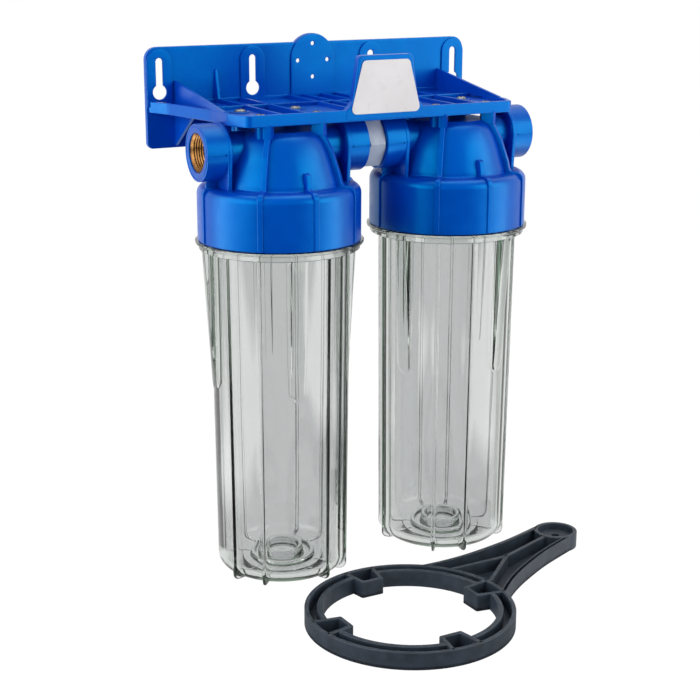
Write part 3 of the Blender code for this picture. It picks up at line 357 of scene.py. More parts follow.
def plate(outlines: Sequence[Sequence[Point]], low: float, high: float, round_over: float = 0.5,
          axes: Optional[Sequence[Sequence[float]]] = None, steps: int = 2) -> Mesh:
    """Plate of a flat outline with holes, its edges rounded over.

    Args:
        outlines: The outer outline and any holes.
        low: Where the plate starts across its plane.
        high: Where it ends.
        round_over: Radius of its edges.
        axes: Plane that it is drawn in; the floor plan when left out.
        steps: Chords in a quarter of a rounded edge.

    Returns:
        The plate's mesh.
    """
    curve = bpy.data.curves.new("plate", "CURVE")
    curve.dimensions = "2D"
    curve.fill_mode = "BOTH"
    radius = min(round_over, 0.45 * (high - low))
    curve.extrude = (high - low) / 2 - radius
    curve.bevel_depth = radius
    curve.offset = -radius
    curve.bevel_resolution = steps - 1
    for outline in outlines:
        line = curve.splines.new("POLY")
        line.points.add(len(outline) - 1)
        for point, (x, y) in zip(line.points, outline):
            point.co = (x, y, 0, 1)
        line.use_cyclic_u = True
    mesh = cleaned(evaluated(temporary(curve)))
    mesh.transform(axes_matrix(axes or Plane.PLAN.value, (low + high) / 2))
    if axes_matrix(axes or Plane.PLAN.value).determinant() < 0:
        mesh.flip_normals()
    return mesh


def moved(mesh: Mesh, matrix: Matrix) -> Mesh:
    """Copy of a mesh under a transform, with its faces still turned out.

    Args:
        mesh: The mesh.
        matrix: The transform.

    Returns:
        The moved copy.
    """
    twin = mesh.copy()
    twin.transform(matrix)
    if matrix.determinant() < 0:
        twin.flip_normals()
    return twin


def combined(body: Mesh, tool: Mesh, operation: str) -> Mesh:
    """Boolean of two closed meshes.

    Args:
        body: First mesh.
        tool: Second mesh.
        operation: UNION, DIFFERENCE or INTERSECT.

    Returns:
        The result.
    """
    item, other = temporary(body), temporary(tool)
    step = item.modifiers.new("step", "BOOLEAN")
    step.operation = operation
    step.solver = "EXACT"
    step.object = other
    mesh = evaluated(item)
    bpy.data.objects.remove(other, do_unlink=True)
    return mesh


def joined(shells: Iterable[Mesh]) -> Mesh:
    """Puts shells side by side in one mesh.

    Args:
        shells: The shells.

    Returns:
        One mesh that holds them all.
    """
    work = bmesh.new()
    for shell in shells:
        work.from_mesh(shell)
        bpy.data.meshes.remove(shell)
    mesh = bpy.data.meshes.new("shells")
    work.to_mesh(mesh)
    work.free()
    return mesh


def dress(mesh: Mesh, name: str, body: Body, finish: Material,
          nodes: Sequence[str], smooth: float, weighted: bool = True) -> Item:
    """Makes a finished piece of a mesh in millimetres and gives it to its body.

    Args:
        mesh: The mesh.
        name: Name of the piece.
        body: Body that it rides on.
        finish: Its material.
        nodes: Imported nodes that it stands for.
        smooth: Edges sharper than this angle stay sharp.
        weighted: Whether large faces keep their flat shading.

    Returns:
        The piece.
    """
    mesh.transform(TO_FRAME)
    mesh.shade_smooth()
    mesh.set_sharp_from_angle(angle=math.radians(smooth))
    mesh.materials.clear()
    mesh.materials.append(finish)
    mesh.name = name
    piece = bpy.data.objects.new(name, mesh)
    bpy.context.scene.collection.objects.link(piece)
    if weighted:
        normals = piece.modifiers.new("flat_faces", "WEIGHTED_NORMAL")
        normals.keep_sharp = True
        normals.weight = 80
    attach(piece, body.value)
    if nodes:
        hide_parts(*nodes)
    LOG.info("%s: %d faces", name, len(mesh.polygons))
    return piece


# Node trees


def add_node(tree: Tree, kind: str, settings: Optional[dict] = None,
             links: Optional[dict] = None) -> Node:
    """Adds a node with its settings, values and links.

    Args:
        tree: The tree.
        kind: The node's type.
        settings: Its own properties.
        links: Socket name or number to a value, an output socket or a node, whose first
            output is meant.

    Returns:
        The node.
    """
    item = tree.nodes.new(kind)
    for name, value in (settings or {}).items():
        setattr(item, name, value)
    for key, value in (links or {}).items():
        socket = item.inputs[key]
        if isinstance(value, Node):
            value = value.outputs[0]
        if isinstance(value, Socket):
            tree.links.new(value, socket)
        else:
            socket.default_value = value
    return item


class Rule:
    """A Geometry Nodes rule with named inputs that is used up as a plain mesh."""

    def __init__(self, name: str) -> None:
        """Starts an empty rule.

        Args:
            name: Name of the rule.
        """
        self.tree = bpy.data.node_groups.new(name, "GeometryNodeTree")
        for way in ("INPUT", "OUTPUT"):
            self.tree.interface.new_socket(
                "Geometry", in_out=way, socket_type="NodeSocketGeometry")
        self.start = self.tree.nodes.new("NodeGroupInput")
        self.values: dict[str, object] = {}

    def named(self, name: str, kind: str, value: object) -> Socket:
        """Adds a named input.

        Args:
            name: Name of the input.
            kind: Its socket type.
            value: What it is set to.

        Returns:
            The socket that gives it.
        """
        socket = self.tree.interface.new_socket(name, in_out="INPUT", socket_type=kind)
        self.values[socket.identifier] = value
        return self.start.outputs[name]

    def size(self, name: str, value: float) -> Socket:
        """Adds a named size in millimetres or a count."""
        kind = "NodeSocketInt" if isinstance(value, int) else "NodeSocketFloat"
        return self.named(name, kind, value)

    def thing(self, name: str, value: Item) -> Socket:
        """Adds a named object, such as what is set out along a ring."""
        return self.named(name, "NodeSocketObject", value)

    def add(self, kind: str, settings: Optional[dict] = None,
            links: Optional[dict] = None) -> Node:
        """Adds a node to the rule; see add_node."""
        return add_node(self.tree, kind, settings, links)

    def mesh(self, last: Socket, material: Material, base: Optional[Mesh] = None) -> Mesh:
        """Ends the rule, runs it and returns the plain mesh.

        Args:
            last: Geometry socket of the last shape.
            material: Material of the result.
            base: Mesh that the rule starts from.

        Returns:
            The mesh in millimetres.
        """
        real = self.add("GeometryNodeRealizeInstances", links={0: last})
        painted = self.add(
            "GeometryNodeSetMaterial", links={"Geometry": real, "Material": material})
        self.add("NodeGroupOutput", links={0: painted})
        holder = temporary(base or bpy.data.meshes.new("empty"))
        step = holder.modifiers.new("rule", "NODES")
        step.node_group = self.tree
        for identifier, value in self.values.items():
            step[identifier] = value
        return evaluated(holder)


# Finishes


def linear(code: str) -> tuple[float, float, float, float]:
    """Turns an sRGB hex colour into a linear one.

    Args:
        code: Six hex digits.

    Returns:
        Linear red, green, blue and alpha.
    """
    channels = []
    for index in (0, 2, 4):
        value = int(code[index:index + 2], 16) / 255
        channels.append(value / 12.92 if value <= 0.04045 else ((value + 0.055) / 1.055) ** 2.4)
    return (*channels, 1.0)


@dataclass(frozen=True)
class Finish:
    """A real material and how its surface was made."""

    name: str
    colour: str
    roughness: float
    ior: float = 1.5

    def base(self) -> tuple[Material, Tree, Node]:
        """Starts the material.

        Returns:
            The material, its tree and its shader.
        """
        material = bpy.data.materials.new(self.name)
        material.use_nodes = True
        tree = material.node_tree
        shader = tree.nodes["Principled BSDF"]
        shader.inputs["Base Color"].default_value = linear(self.colour)
        shader.inputs["Roughness"].default_value = self.roughness
        shader.inputs["IOR"].default_value = self.ior
        return material, tree, shader

    def pattern(self, tree: Tree, size_mm: float, low: float = 0.0, high: float = 1.0,
                detail: float = 2.0, stretch: Triple = EVEN) -> Node:
        """Cloudy pattern on object coordinates whose features have a real size.

        Args:
            tree: The tree.
            size_mm: Size of a feature.
            low: Smallest value.
            high: Largest value.
            detail: Octaves of the noise.
            stretch: Factors along the axes.

        Returns:
            The node whose first output gives the pattern.
        """
        place = add_node(tree, "ShaderNodeTexCoord").outputs["Object"]
        turn = add_node(tree, "ShaderNodeMapping", {}, {"Vector": place, "Scale": stretch})
        links = {"Vector": turn, "Scale": 1.0 / (size_mm * MM), "Detail": detail}
        noise = add_node(tree, "ShaderNodeTexNoise", {}, links)
        spread = {"Value": noise, "From Min": NOISE_LOW, "From Max": NOISE_HIGH,
                  "To Min": low, "To Max": high}
        return add_node(tree, "ShaderNodeMapRange", {}, spread)

    def vary_colour(self, tree: Tree, shader: Node, size_mm: float, dark: str,
                    light: str) -> None:
        """Lets the base colour drift between two hex colours.

        Args:
            tree: The tree.
            shader: Shader that takes the colour.
            size_mm: Size of a patch.
            dark: One end.
            light: The other end.
        """
        links = {0: self.pattern(tree, size_mm), 6: linear(dark), 7: linear(light)}
        mix = add_node(tree, "ShaderNodeMix", {"data_type": "RGBA"}, links)
        tree.links.new(mix.outputs[2], shader.inputs["Base Color"])

    def vary_roughness(self, tree: Tree, shader: Node, size_mm: float,
                       spread: float) -> None:
        """Lets the roughness drift round its middle value.

        Args:
            tree: The tree.
            shader: Shader that takes the roughness.
            size_mm: Size of a patch.
            spread: Half the range.
        """
        low, high = self.roughness - spread, self.roughness + spread
        rough = self.pattern(tree, size_mm, low, high)
        tree.links.new(rough.outputs[0], shader.inputs["Roughness"])

    def relief(self, tree: Tree, shader: Node, layers: Sequence[Point],
               stretch: Triple = EVEN) -> None:
        """Adds fine surface relief.

        Args:
            tree: The tree.
            shader: Shader that takes the relief.
            layers: Feature size and height of each layer in millimetres.
            stretch: Factors along the axes.
        """
        normal: Optional[Node] = None
        for size_mm, height_mm in layers:
            bumps = self.pattern(tree, size_mm, 0.0, 1.0, 1.0, stretch)
            links = {"Height": bumps, "Distance": height_mm * MM, "Strength": 1.0}
            if normal:
                links["Normal"] = normal
            normal = add_node(tree, "ShaderNodeBump", {}, links)
        tree.links.new(normal.outputs[0], shader.inputs["Normal"])


@dataclass(frozen=True)
class MouldedPolypropylene(Finish):
    """Injection-moulded blue polypropylene: satin, with a faint orange peel."""

    dark: str = "0038AA"
    light: str = "0044B8"
    tint: str = "00C6FF"
    drift_mm: float = 40.0
    patch_mm: float = 9.0
    patch_spread: float = 0.05
    peel: Point = (1.6, 0.010)
    grain: Point = (0.35, 0.004)

    def build(self) -> Material:
        """Builds the material.

        Returns:
            The material.
        """
        material, tree, shader = self.base()
        # The flow of the melt makes the shade drift.
        self.vary_colour(tree, shader, self.drift_mm, self.dark, self.light)
        self.vary_roughness(tree, shader, self.patch_mm, self.patch_spread)
        # Orange peel under the grain of a spark-eroded mould.
        self.relief(tree, shader, (self.peel, self.grain))
        # The pigment shows through the skin, so a lamp's mirror image is cyan, not white.
        shader.inputs["Specular IOR Level"].default_value = 1.0
        shader.inputs["Specular Tint"].default_value = linear(self.tint)
        return material


@dataclass(frozen=True)
class ClearStyreneAcrylonitrile(Finish):
    """Clear moulded styrene acrylonitrile: glossy, greenish where light runs far in it."""

    absorb: str = "AEC8B2"
    density: float = 27.0
    draw_marks: Point = (14.0, 0.04)
    marks_stretch: Triple = (1.0, 1.0, 0.16)

    def build(self) -> Material:
        """Builds the material.

        Returns:
            The material.
        """
        material, tree, shader = self.base()
        shader.inputs["Transmission Weight"].default_value = 1.0
        # Draw marks of the core: slow waves 14 mm wide and some 90 mm long.
        self.relief(tree, shader, (self.draw_marks,), self.marks_stretch)
        links = {"Color": linear(self.absorb), "Density": self.density}
        depth = add_node(tree, "ShaderNodeVolumeAbsorption", {}, links)
        out = next(item for item in tree.nodes if item.type == "OUTPUT_MATERIAL")
        tree.links.new(depth.outputs[0], out.inputs["Volume"])
        return material


@dataclass(frozen=True)
class TurnedMetal(Finish):
    """A machined or plated metal: bright, with tool marks and slightly dull patches."""

    # Brass tones, darkened part way below real brass as painted shade of the port bores.
    dark: str = "5E3F21"
    light: str = "946C3E"
    cloud_mm: float = 4.0
    patch_spread: float = 0.07
    marks: Point = (0.5, 0.008)
    marks_stretch: Triple = (4.0, 0.4, 0.4)

    def build(self) -> Material:
        """Builds the material.

        Returns:
            The material.
        """
        material, tree, shader = self.base()
        shader.inputs["Metallic"].default_value = 1.0
        self.vary_colour(tree, shader, self.cloud_mm, self.dark, self.light)
        self.vary_roughness(tree, shader, self.cloud_mm / 2, self.patch_spread)
        self.relief(tree, shader, (self.marks,), self.marks_stretch)
        return material


@dataclass(frozen=True)
class MouldedPolymer(Finish):
    """A plain moulded polymer with a measured grain, such as nylon, rubber or film."""

    dark: str = "C0C7CE"
    light: str = "D4DAE0"
    grain: Point = (0.8, 0.01)
    cloud_mm: float = 12.0
    glow: float = 0.0
    glow_depth: float = 0.002
    patch_spread: float = 0.05

    def build(self) -> Material:
        """Builds the material.

        Returns:
            The material.
        """
        material, tree, shader = self.base()
        self.vary_colour(tree, shader, self.cloud_mm, self.dark, self.light)
        self.vary_roughness(tree, shader, self.grain[0] * 4, self.patch_spread)
        self.relief(tree, shader, (self.grain,))
        if self.glow:
            # Nylon lets light in: a short scatter softens its edges.
            shader.inputs["Subsurface Weight"].default_value = self.glow
            shader.inputs["Subsurface Radius"].default_value = EVEN
            shader.inputs["Subsurface Scale"].default_value = self.glow_depth
        return material


@dataclass(frozen=True)
class Palette:
    """All finishes of the filter: colour, roughness, refraction, then two shades."""

    # Polypropylene, moulded: a deep satin blue.
    blue: MouldedPolypropylene = MouldedPolypropylene(
        "moulded_polypropylene", "003EB1", 0.33, 1.58)
    # Styrene acrylonitrile, moulded and clear: glassy grey with green edges.
    clear: ClearStyreneAcrylonitrile = ClearStyreneAcrylonitrile(
        "clear_styrene_acrylonitrile", "E2E1E3", 0.015, 1.57)
    # Brass, machined: warm, its colour darkened part way as painted shade of the port bores, with
    # random drift between two tones.
    brass: TurnedMetal = TurnedMetal("machined_brass", "9E7040", 0.27)
    # Steel, nickel plated: neutral pan heads.
    steel: TurnedMetal = TurnedMetal(
        "nickel_plated_steel", "747679", 0.24, 1.5, "606267", "8C8E92",
        cloud_mm=1.5, marks=(0.6, 0.008), marks_stretch=EVEN)
    # Nylon, moulded in its natural colour: milky white; the cool grey-blue that it shows in shade
    # is painted into its colour.
    nylon: MouldedPolymer = MouldedPolymer(
        "natural_nylon", "B3BECD", 0.42, 1.53, "A9B5C6", "BBC5D2",
        grain=(1.2, 0.01), cloud_mm=10.0, glow=0.25)
    # Nylon filled with glass, moulded: charcoal, dull, with a dry grain.
    dark: MouldedPolymer = MouldedPolymer(
        "glass_filled_nylon", "262F39", 0.50, 1.45, "202933", "2F3946",
        grain=(0.5, 0.012), cloud_mm=9.0)
    # Nitrile rubber, moulded: black and matt.
    rubber: MouldedPolymer = MouldedPolymer(
        "nitrile_rubber", "17181A", 0.6, 1.52, "141517", "1E1F22",
        grain=(0.4, 0.01), cloud_mm=6.0)
    # Polyester film with a white print coat: smooth and pale, with faint cool clouds.
    film: MouldedPolymer = MouldedPolymer(
        "label_film", "E0DCDE", 0.3, 1.5, "DBD7D9", "E4E1E3",
        grain=(2.5, 0.004), cloud_mm=20.0)


class Materials:
    """Built materials, one of each finish."""

    def __init__(self, palette: Palette) -> None:
        """Builds every finish.

        Args:
            palette: The finishes.
        """
        self.blue = palette.blue.build()
        self.clear = palette.clear.build()
        self.brass = palette.brass.build()
        self.nylon = palette.nylon.build()
        self.dark = palette.dark.build()
        self.rubber = palette.rubber.build()
        self.film = palette.film.build()
        self.steel = palette.steel.build()


# Sumps


@dataclass
class Sump:
    """Clear sump with its neck thread and O-ring; a rule raises its ribs and wedges."""

    side: Side
    rib_angle: float
    flange_top: float = 248.7
    flange_radius: float = 60.0
    flange_disc: float = 2.2
    band_radius: float = 57.5
    band: float = 4.1
    band_step: float = 0.4
    wall_top: float = 50.1
    wall_low: float = 47.9
    wall: float = 5.3
    corner: float = 11.0
    foot_round: float = 5.5
    underside: float = 1.0
    floor: float = 6.1
    neck_radius: float = 49.6
    neck_top: float = 266.7
    rib_count: int = 12
    rib_height: float = 1.5
    rib_width: float = 2.2
    rib_foot: float = 32.0
    rib_run_in: float = 1.4
    edge_softness: float = 0.55
    wedge_every: int = 3
    wedge_width: float = 9.5
    wedge_low: float = 141.0
    wedge_rise: float = 5.2
    wedge_foot: float = 0.7
    pitch: float = 5.0
    thread_turns: float = 2.2
    thread_size: float = 2.0
    thread_low: float = 3.9
    ring_cord: float = 3.0
    groove_half: float = 1.8
    groove_depth: float = 2.0
    # Centring rings on the floor: radius, height over the floor and rounding.
    centring: tuple[Triple, ...] = (
        (31.0, 0.0, 0.0), (30.2, 0.7, 0.4), (24.6, 0.7, 0.4), (24.0, 3.6, 0.6),
        (21.2, 3.6, 0.6), (20.8, 0.4, 0.8), (16.2, 0.4, 1.0), (15.2, 7.6, 0.9),
        (12.4, 7.6, 0.9), (12.0, 0.0, 1.0), (0.0, 0.0, 0.0))
    # Rows of points: radii under the floor, then how many stand up the wall and how far
    # apart, the same where the wedges begin, and heights above that.
    floor_rows: tuple[float, ...] = (0.0, 12.0, 22.0)
    wall_rows: int = 13
    wall_step: float = 9.5
    wedge_rows: int = 11
    wedge_step: float = 0.75
    upper_rows: tuple[float, ...] = (
        155.0, 165.0, 176.0, 187.0, 198.0, 209.0, 220.0, 230.0, 237.0)
    # Distances from a rib's middle at which the wall has lines of points.
    plain_offsets: tuple[float, ...] = (0.0, 0.5, 0.8, 1.0, 1.2, 1.45, 1.8)
    wedge_offsets: tuple[float, ...] = (
        0.0, 0.5, 0.8, 1.0, 1.2, 1.45, 1.8, 2.8, 3.7, 4.3, 4.6, 4.85, 5.1, 5.5)
    lines_between: int = 5
    # Within the hub the lines keep their angles.
    hub: float = 24.0
    # A line between two ribs counts as this far from both.
    clear_of_ribs: float = 12.0

    @property
    def ring_radius(self) -> float:
        """Middle radius of the O-ring."""
        return (self.neck_radius + self.wall_top - self.wall) / 2

    def wall_radius(self, z: float) -> float:
        """Outer radius of the drafted wall.

        Args:
            z: Height.

        Returns:
            The radius.
        """
        slope = (self.wall_top - self.wall_low) / (self.flange_top - self.underside - self.corner)
        return self.wall_low + slope * (z - self.underside - self.corner)

    def foot_share(self, angle: float) -> float:
        """Height of a rib at the corner of the base, where it stands out further.

        Args:
            angle: Degrees along the corner, from -90 below to 0 at the side.

        Returns:
            Factor on the rib's height.
        """
        across, down = math.cos(math.radians(angle)), -math.sin(math.radians(angle))
        centre = (self.wall_low - self.corner, self.underside + self.corner)
        side = self.wall_low + self.rib_height
        reach = min(centre[1] / max(down, 1e-6), (side - centre[0]) / max(across, 1e-6))
        # The foot's own rounding, seen from the middle of the wall's corner.
        middle = (side - self.foot_round - centre[0], self.foot_round - centre[1])
        along = middle[0] * across - middle[1] * down
        inside = along * along - middle[0] ** 2 - middle[1] ** 2 + self.foot_round ** 2
        if inside > 0:
            hit = along + math.sqrt(inside)
            if hit * across > middle[0] and -hit * down < middle[1]:
                reach = min(reach, hit)
        return (reach - self.corner) / self.rib_height

    def outer(self) -> list[tuple[float, float, float, bool]]:
        """Outside section from the middle of the floor up to the rim.

        Returns:
            (radius, z, share of the ribs' height, whether they stand out level) of each
            point.
        """
        low = self.underside + self.corner
        centre = (self.wall_low - self.corner, low)
        rows = [(radius, self.underside, 0.0, False)
                for radius in (*self.floor_rows, self.rib_foot - 0.8)]
        for angle in range(-90, 1, 7):
            radius, z = arc(centre, self.corner, angle, angle, 1)[0]
            start = min(max((radius - self.rib_foot) / self.rib_run_in + 0.2, 0.0), 1.0)
            rows.append((radius, z, self.foot_share(angle) * start, False))
        top = self.flange_top
        disc_low = top - self.flange_disc
        band_low = top - self.flange_disc - self.band
        heights = [low + 6 + self.wall_step * step for step in range(self.wall_rows)]
        start = self.wedge_low - 1.0
        heights += [start + self.wedge_step * step for step in range(self.wedge_rows)]
        heights += [*self.upper_rows, band_low - 0.02]
        rows += [(self.wall_radius(z), z, 1.0, False) for z in sorted(heights)]
        band_start = self.wall_radius(band_low) + self.band_step
        rows.append((band_start, band_low, 1.0, True))
        groove_near = self.ring_radius - self.groove_half
        groove_far = self.ring_radius + self.groove_half
        groove_low = self.neck_top - self.groove_depth
        rim = fillet([
            (band_start, band_low), (self.band_radius, band_low, 0.7),
            (self.band_radius, disc_low, 0.4), (self.flange_radius, disc_low, 0.6),
            (self.flange_radius, top, 0.6), (self.neck_radius, top, 0.5),
            (self.neck_radius, self.neck_top, 0.6), (groove_far, self.neck_top, 0.2),
            (groove_far, groove_low, 0.3), (groove_near, groove_low, 0.3),
            (groove_near, self.neck_top, 0.2),
            (self.wall_top - self.wall + 0.1, self.neck_top)], 3, closed=False)
        return rows + [(r, z, 0.0, False) for r, z in rim[1:]]

    def inner(self) -> Outline:
        """Inside section from the rim to the middle of the floor, with its centring rings.

        Returns:
            (radius, z) of each point.
        """
        rings = [(radius, self.floor + height, corner)
                 for radius, height, corner in self.centring]
        return fillet([
            (self.wall_top - self.wall, self.neck_top - 0.5),
            (self.wall_low - self.wall, self.floor, 8.5), *rings], 5, closed=False)

    def offsets(self, rib: int) -> list[float]:
        """Places of the grid's lines across a rib, in millimetres from its middle.

        Args:
            rib: Number of the rib.

        Returns:
            The offsets in order.
        """
        half = self.plain_offsets if rib % self.wedge_every else self.wedge_offsets
        return [-value for value in reversed(half[1:])] + list(half)

    def lines(self, radius: float) -> list[Triple]:
        """Angles of the grid's lines at a radius.

        Args:
            radius: The radius.

        Returns:
            (angle, distance from the nearest rib's middle, 1 on a wedge's rib) of each line.
        """
        step = math.tau / self.rib_count
        reach = max(radius, self.hub)
        result = []
        for rib in range(self.rib_count):
            middle = math.radians(self.rib_angle) + rib * step
            wedge = 0.0 if rib % self.wedge_every else 1.0
            here = self.offsets(rib)
            result += [(middle + offset / reach, abs(offset), wedge) for offset in here]
            first = middle + here[-1] / reach
            last = middle + step + self.offsets((rib + 1) % self.rib_count)[0] / reach
            for index in range(1, self.lines_between + 1):
                angle = first + (last - first) * index / (self.lines_between + 1)
                result.append((angle, self.clear_of_ribs, 0.0))
        return result

    def grid(self) -> Mesh:
        """Plain wall with what the rule needs at each point.

        Returns:
            The closed mesh, with rib distance, wedge mark, height share and outward way.
        """
        rows = self.outer() + [(r, z, 0.0, False) for r, z in self.inner()]
        count = len(self.lines(self.wall_top))
        vertices, across, wedges, shares, outward = [], [], [], [], []
        for index, (radius, z, share, level) in enumerate(rows):
            before, after = rows[max(index - 1, 0)], rows[min(index + 1, len(rows) - 1)]
            normal = Vector((after[1] - before[1], before[0] - after[0])).normalized()
            if level or z > self.wedge_low:
                normal = Vector((1.0, 0.0))
            for angle, distance, wedge in self.lines(radius):
                side, front = math.sin(angle), -math.cos(angle)
                vertices.append((radius * side, radius * front, z))
                across.append(distance)
                wedges.append(wedge)
                shares.append(share)
                outward += [normal.x * side, normal.x * front, normal.y]
        faces = []
        for row in range(len(rows) - 1):
            for line in range(count):
                a, b = row * count + line, row * count + (line + 1) % count
                faces.append((a, b, b + count, a + count))
        mesh = bpy.data.meshes.new("sump_grid")
        mesh.from_pydata(vertices, [], faces)
        for name, values in (("across", across), ("wedge", wedges), ("share", shares)):
            mesh.attributes.new(name, "FLOAT", "POINT").data.foreach_set("value", values)
        ways = mesh.attributes.new("outward", "FLOAT_VECTOR", "POINT")
        ways.data.foreach_set("vector", outward)
        return mesh

    def rib_rule(self, base: Mesh, finish: Material) -> Mesh:
        """Raises the ribs and wedges out of the plain wall.

        Args:
            base: The plain wall with its attributes.
            finish: Material of the wall.

        Returns:
            The ribbed wall.
        """
        rule = Rule("raise_ribs_and_wedges")
        height = rule.size("Rib Height", self.rib_height)
        half = rule.size("Rib Half Width", self.rib_width / 2)
        soft = rule.size("Edge Softness", self.edge_softness)
        broad = rule.size("Wedge Half Width", self.wedge_width / 2)
        low = rule.size("Wedge Low End", self.wedge_low)
        top = rule.size("Wedge Top", self.flange_top - self.flange_disc)
        rise = rule.size("Wedge Rise", self.wedge_rise)
        foot = rule.size("Wedge Foot", self.wedge_foot)
        add, subtract, multiply, divide, root, larger, above_zero, scale, soften = (
            {"operation": "ADD"}, {"operation": "SUBTRACT"}, {"operation": "MULTIPLY"},
            {"operation": "DIVIDE"}, {"operation": "SQRT"}, {"operation": "MAXIMUM"},
            {"operation": "GREATER_THAN"}, {"operation": "SCALE"},
            {"interpolation_type": "SMOOTHSTEP"})
        across, wedged, mask, outward = (
            rule.add("GeometryNodeInputNamedAttribute", {"data_type": kind}, {"Name": name})
            for name, kind in (("across", "FLOAT"), ("wedge", "FLOAT"), ("share", "FLOAT"),
                               ("outward", "FLOAT_VECTOR")))
        place = rule.add("GeometryNodeInputPosition")
        axes = rule.add("ShaderNodeSeparateXYZ", {}, {0: place})
        # The lower end of a wedge is round: its width grows along a quarter circle.
        above = rule.add(MATH, subtract, {0: axes.outputs[2], 1: low})
        begun = rule.add(MATH, divide, {0: above, 1: broad})
        grown = rule.add("ShaderNodeClamp", {}, {0: begun})
        missing = rule.add(MATH, subtract, {0: 1.0, 1: grown})
        square = rule.add(MATH, multiply, {0: missing, 1: missing})
        share = rule.add(MATH, root, {0: rule.add(MATH, subtract, {0: 1.0, 1: square})})
        reach = rule.add(MATH, multiply, {0: broad, 1: share})
        # Height across a wedge and across a rib, each with soft edges.
        shapes = []
        for width in (reach, half):
            near = rule.add(MATH, subtract, {0: width, 1: soft})
            far = rule.add(MATH, add, {0: width, 1: soft})
            span = {"Value": across, "From Min": near, "From Max": far,
                    "To Min": 1.0, "To Max": 0.0}
            shapes.append(rule.add("ShaderNodeMapRange", soften, span))
        # A wedge stands out further towards the flange.
        length = rule.add(MATH, subtract, {0: top, 1: low})
        part = rule.add(MATH, divide, {0: above, 1: length})
        climb = rule.add(MATH, multiply, {0: rise, 1: part})
        level = rule.add(MATH, add, {0: foot, 1: climb})
        slope = rule.add(MATH, multiply, {0: shapes[0], 1: level})
        started = rule.add(MATH, above_zero, {0: above, 1: 0.0})
        here = rule.add(MATH, multiply, {0: started, 1: wedged})
        wedge = rule.add(MATH, multiply, {0: slope, 1: here})
        # A rib that carries a wedge ends at the wedge, so its lower part is plain wall.
        plain = rule.add(MATH, subtract, {0: 1.0, 1: wedged})
        tall = rule.add(MATH, multiply, {0: plain, 1: height})
        rib = rule.add(MATH, multiply, {0: shapes[1], 1: tall})
        raised = rule.add(MATH, larger, {0: rib, 1: wedge})
        total = rule.add(MATH, multiply, {0: raised, 1: mask})
        offset = rule.add("ShaderNodeVectorMath", scale, {0: outward, "Scale": total})
        shaped = rule.add("GeometryNodeSetPosition", {},
                          {"Geometry": rule.start.outputs[0], "Offset": offset})
        return rule.mesh(shaped.outputs[0], finish, base)

    def neck_thread(self, finish: Material) -> Mesh:
        """Round-topped male thread wound on the neck.

        Args:
            finish: Material of the sump.

        Returns:
            The ridge.
        """
        ridge = helix_rule("wind_neck_thread", self.neck_radius + 0.6, self.pitch,
                           self.thread_turns, self.thread_size, 8, finish)
        return moved(ridge, at(z=self.flange_top + self.thread_low))

    def build(self, materials: Materials) -> None:
        """Builds the sump and its O-ring.

        Args:
            materials: The built materials.
        """
        word = self.side.word
        left = self.side is Side.LEFT
        body = Body.SUMP_LEFT if left else Body.SUMP_RIGHT
        ring_body = Body.RING_LEFT if left else Body.RING_RIGHT
        place = at(self.side.value * UNIT_X)
        wall = cleaned(self.rib_rule(self.grid(), materials.clear))
        for name in ("across", "wedge", "share", "outward"):
            if name in wall.attributes:
                wall.attributes.remove(wall.attributes[name])
        wall.transform(place)
        dress(wall, f"sump_{word}_wall", body, materials.clear,
              [f"sump_{word}"], smooth=50.0, weighted=False)
        thread = self.neck_thread(materials.clear)
        thread.transform(place)
        dress(thread, f"sump_{word}_thread", body, materials.clear,
              (), smooth=60.0, weighted=False)
        low = self.neck_top - self.groove_depth + 0.3
        middle = (self.ring_radius, low + self.ring_cord / 2)
        ring = turned(circle(middle, self.ring_cord / 2, 16), 96, closed=True)
        ring.transform(place)
        dress(ring, f"o_ring_{word}_moulded", ring_body, materials.rubber,
              [f"o_ring_{word}"], smooth=60.0, weighted=False)


def helix_rule(name: str, radius: float, pitch: float, turns: float, size: float,
               corners: int, finish: Material) -> Mesh:
    """Right-handed thread ridge swept along a helix.

    Args:
        name: Name of the rule.
        radius: Radius that the ridge is centred on.
        pitch: Rise of a turn.
        turns: Number of turns.
        size: Radius of the ridge's section.
        corners: Corners of the section; 4 gives a V thread.
        finish: Its material.

    Returns:
        The ridge, starting at z = 0.
    """
    rule = Rule(name)
    around = rule.size("Radius", radius)
    turn_count = rule.size("Turns", turns)
    rise = rule.add(MATH, {"operation": "MULTIPLY"},
                    {0: turn_count, 1: rule.size("Pitch", pitch)})
    path = rule.add("GeometryNodeCurveSpiral", {}, {
        "Resolution": 64, "Rotations": turn_count, "Start Radius": around,
        "End Radius": around, "Height": rise})
    upright = rule.add("GeometryNodeSetCurveNormal", {"mode": "Z_UP"}, {"Curve": path})
    section = rule.add("GeometryNodeCurvePrimitiveCircle", {},
                       {"Resolution": corners, "Radius": rule.size("Section", size)})
    ridge = rule.add("GeometryNodeCurveToMesh", {},
                     {"Curve": upright, "Profile Curve": section, "Fill Caps": True})
    return cleaned(rule.mesh(ridge.outputs[0], finish))


# Caps


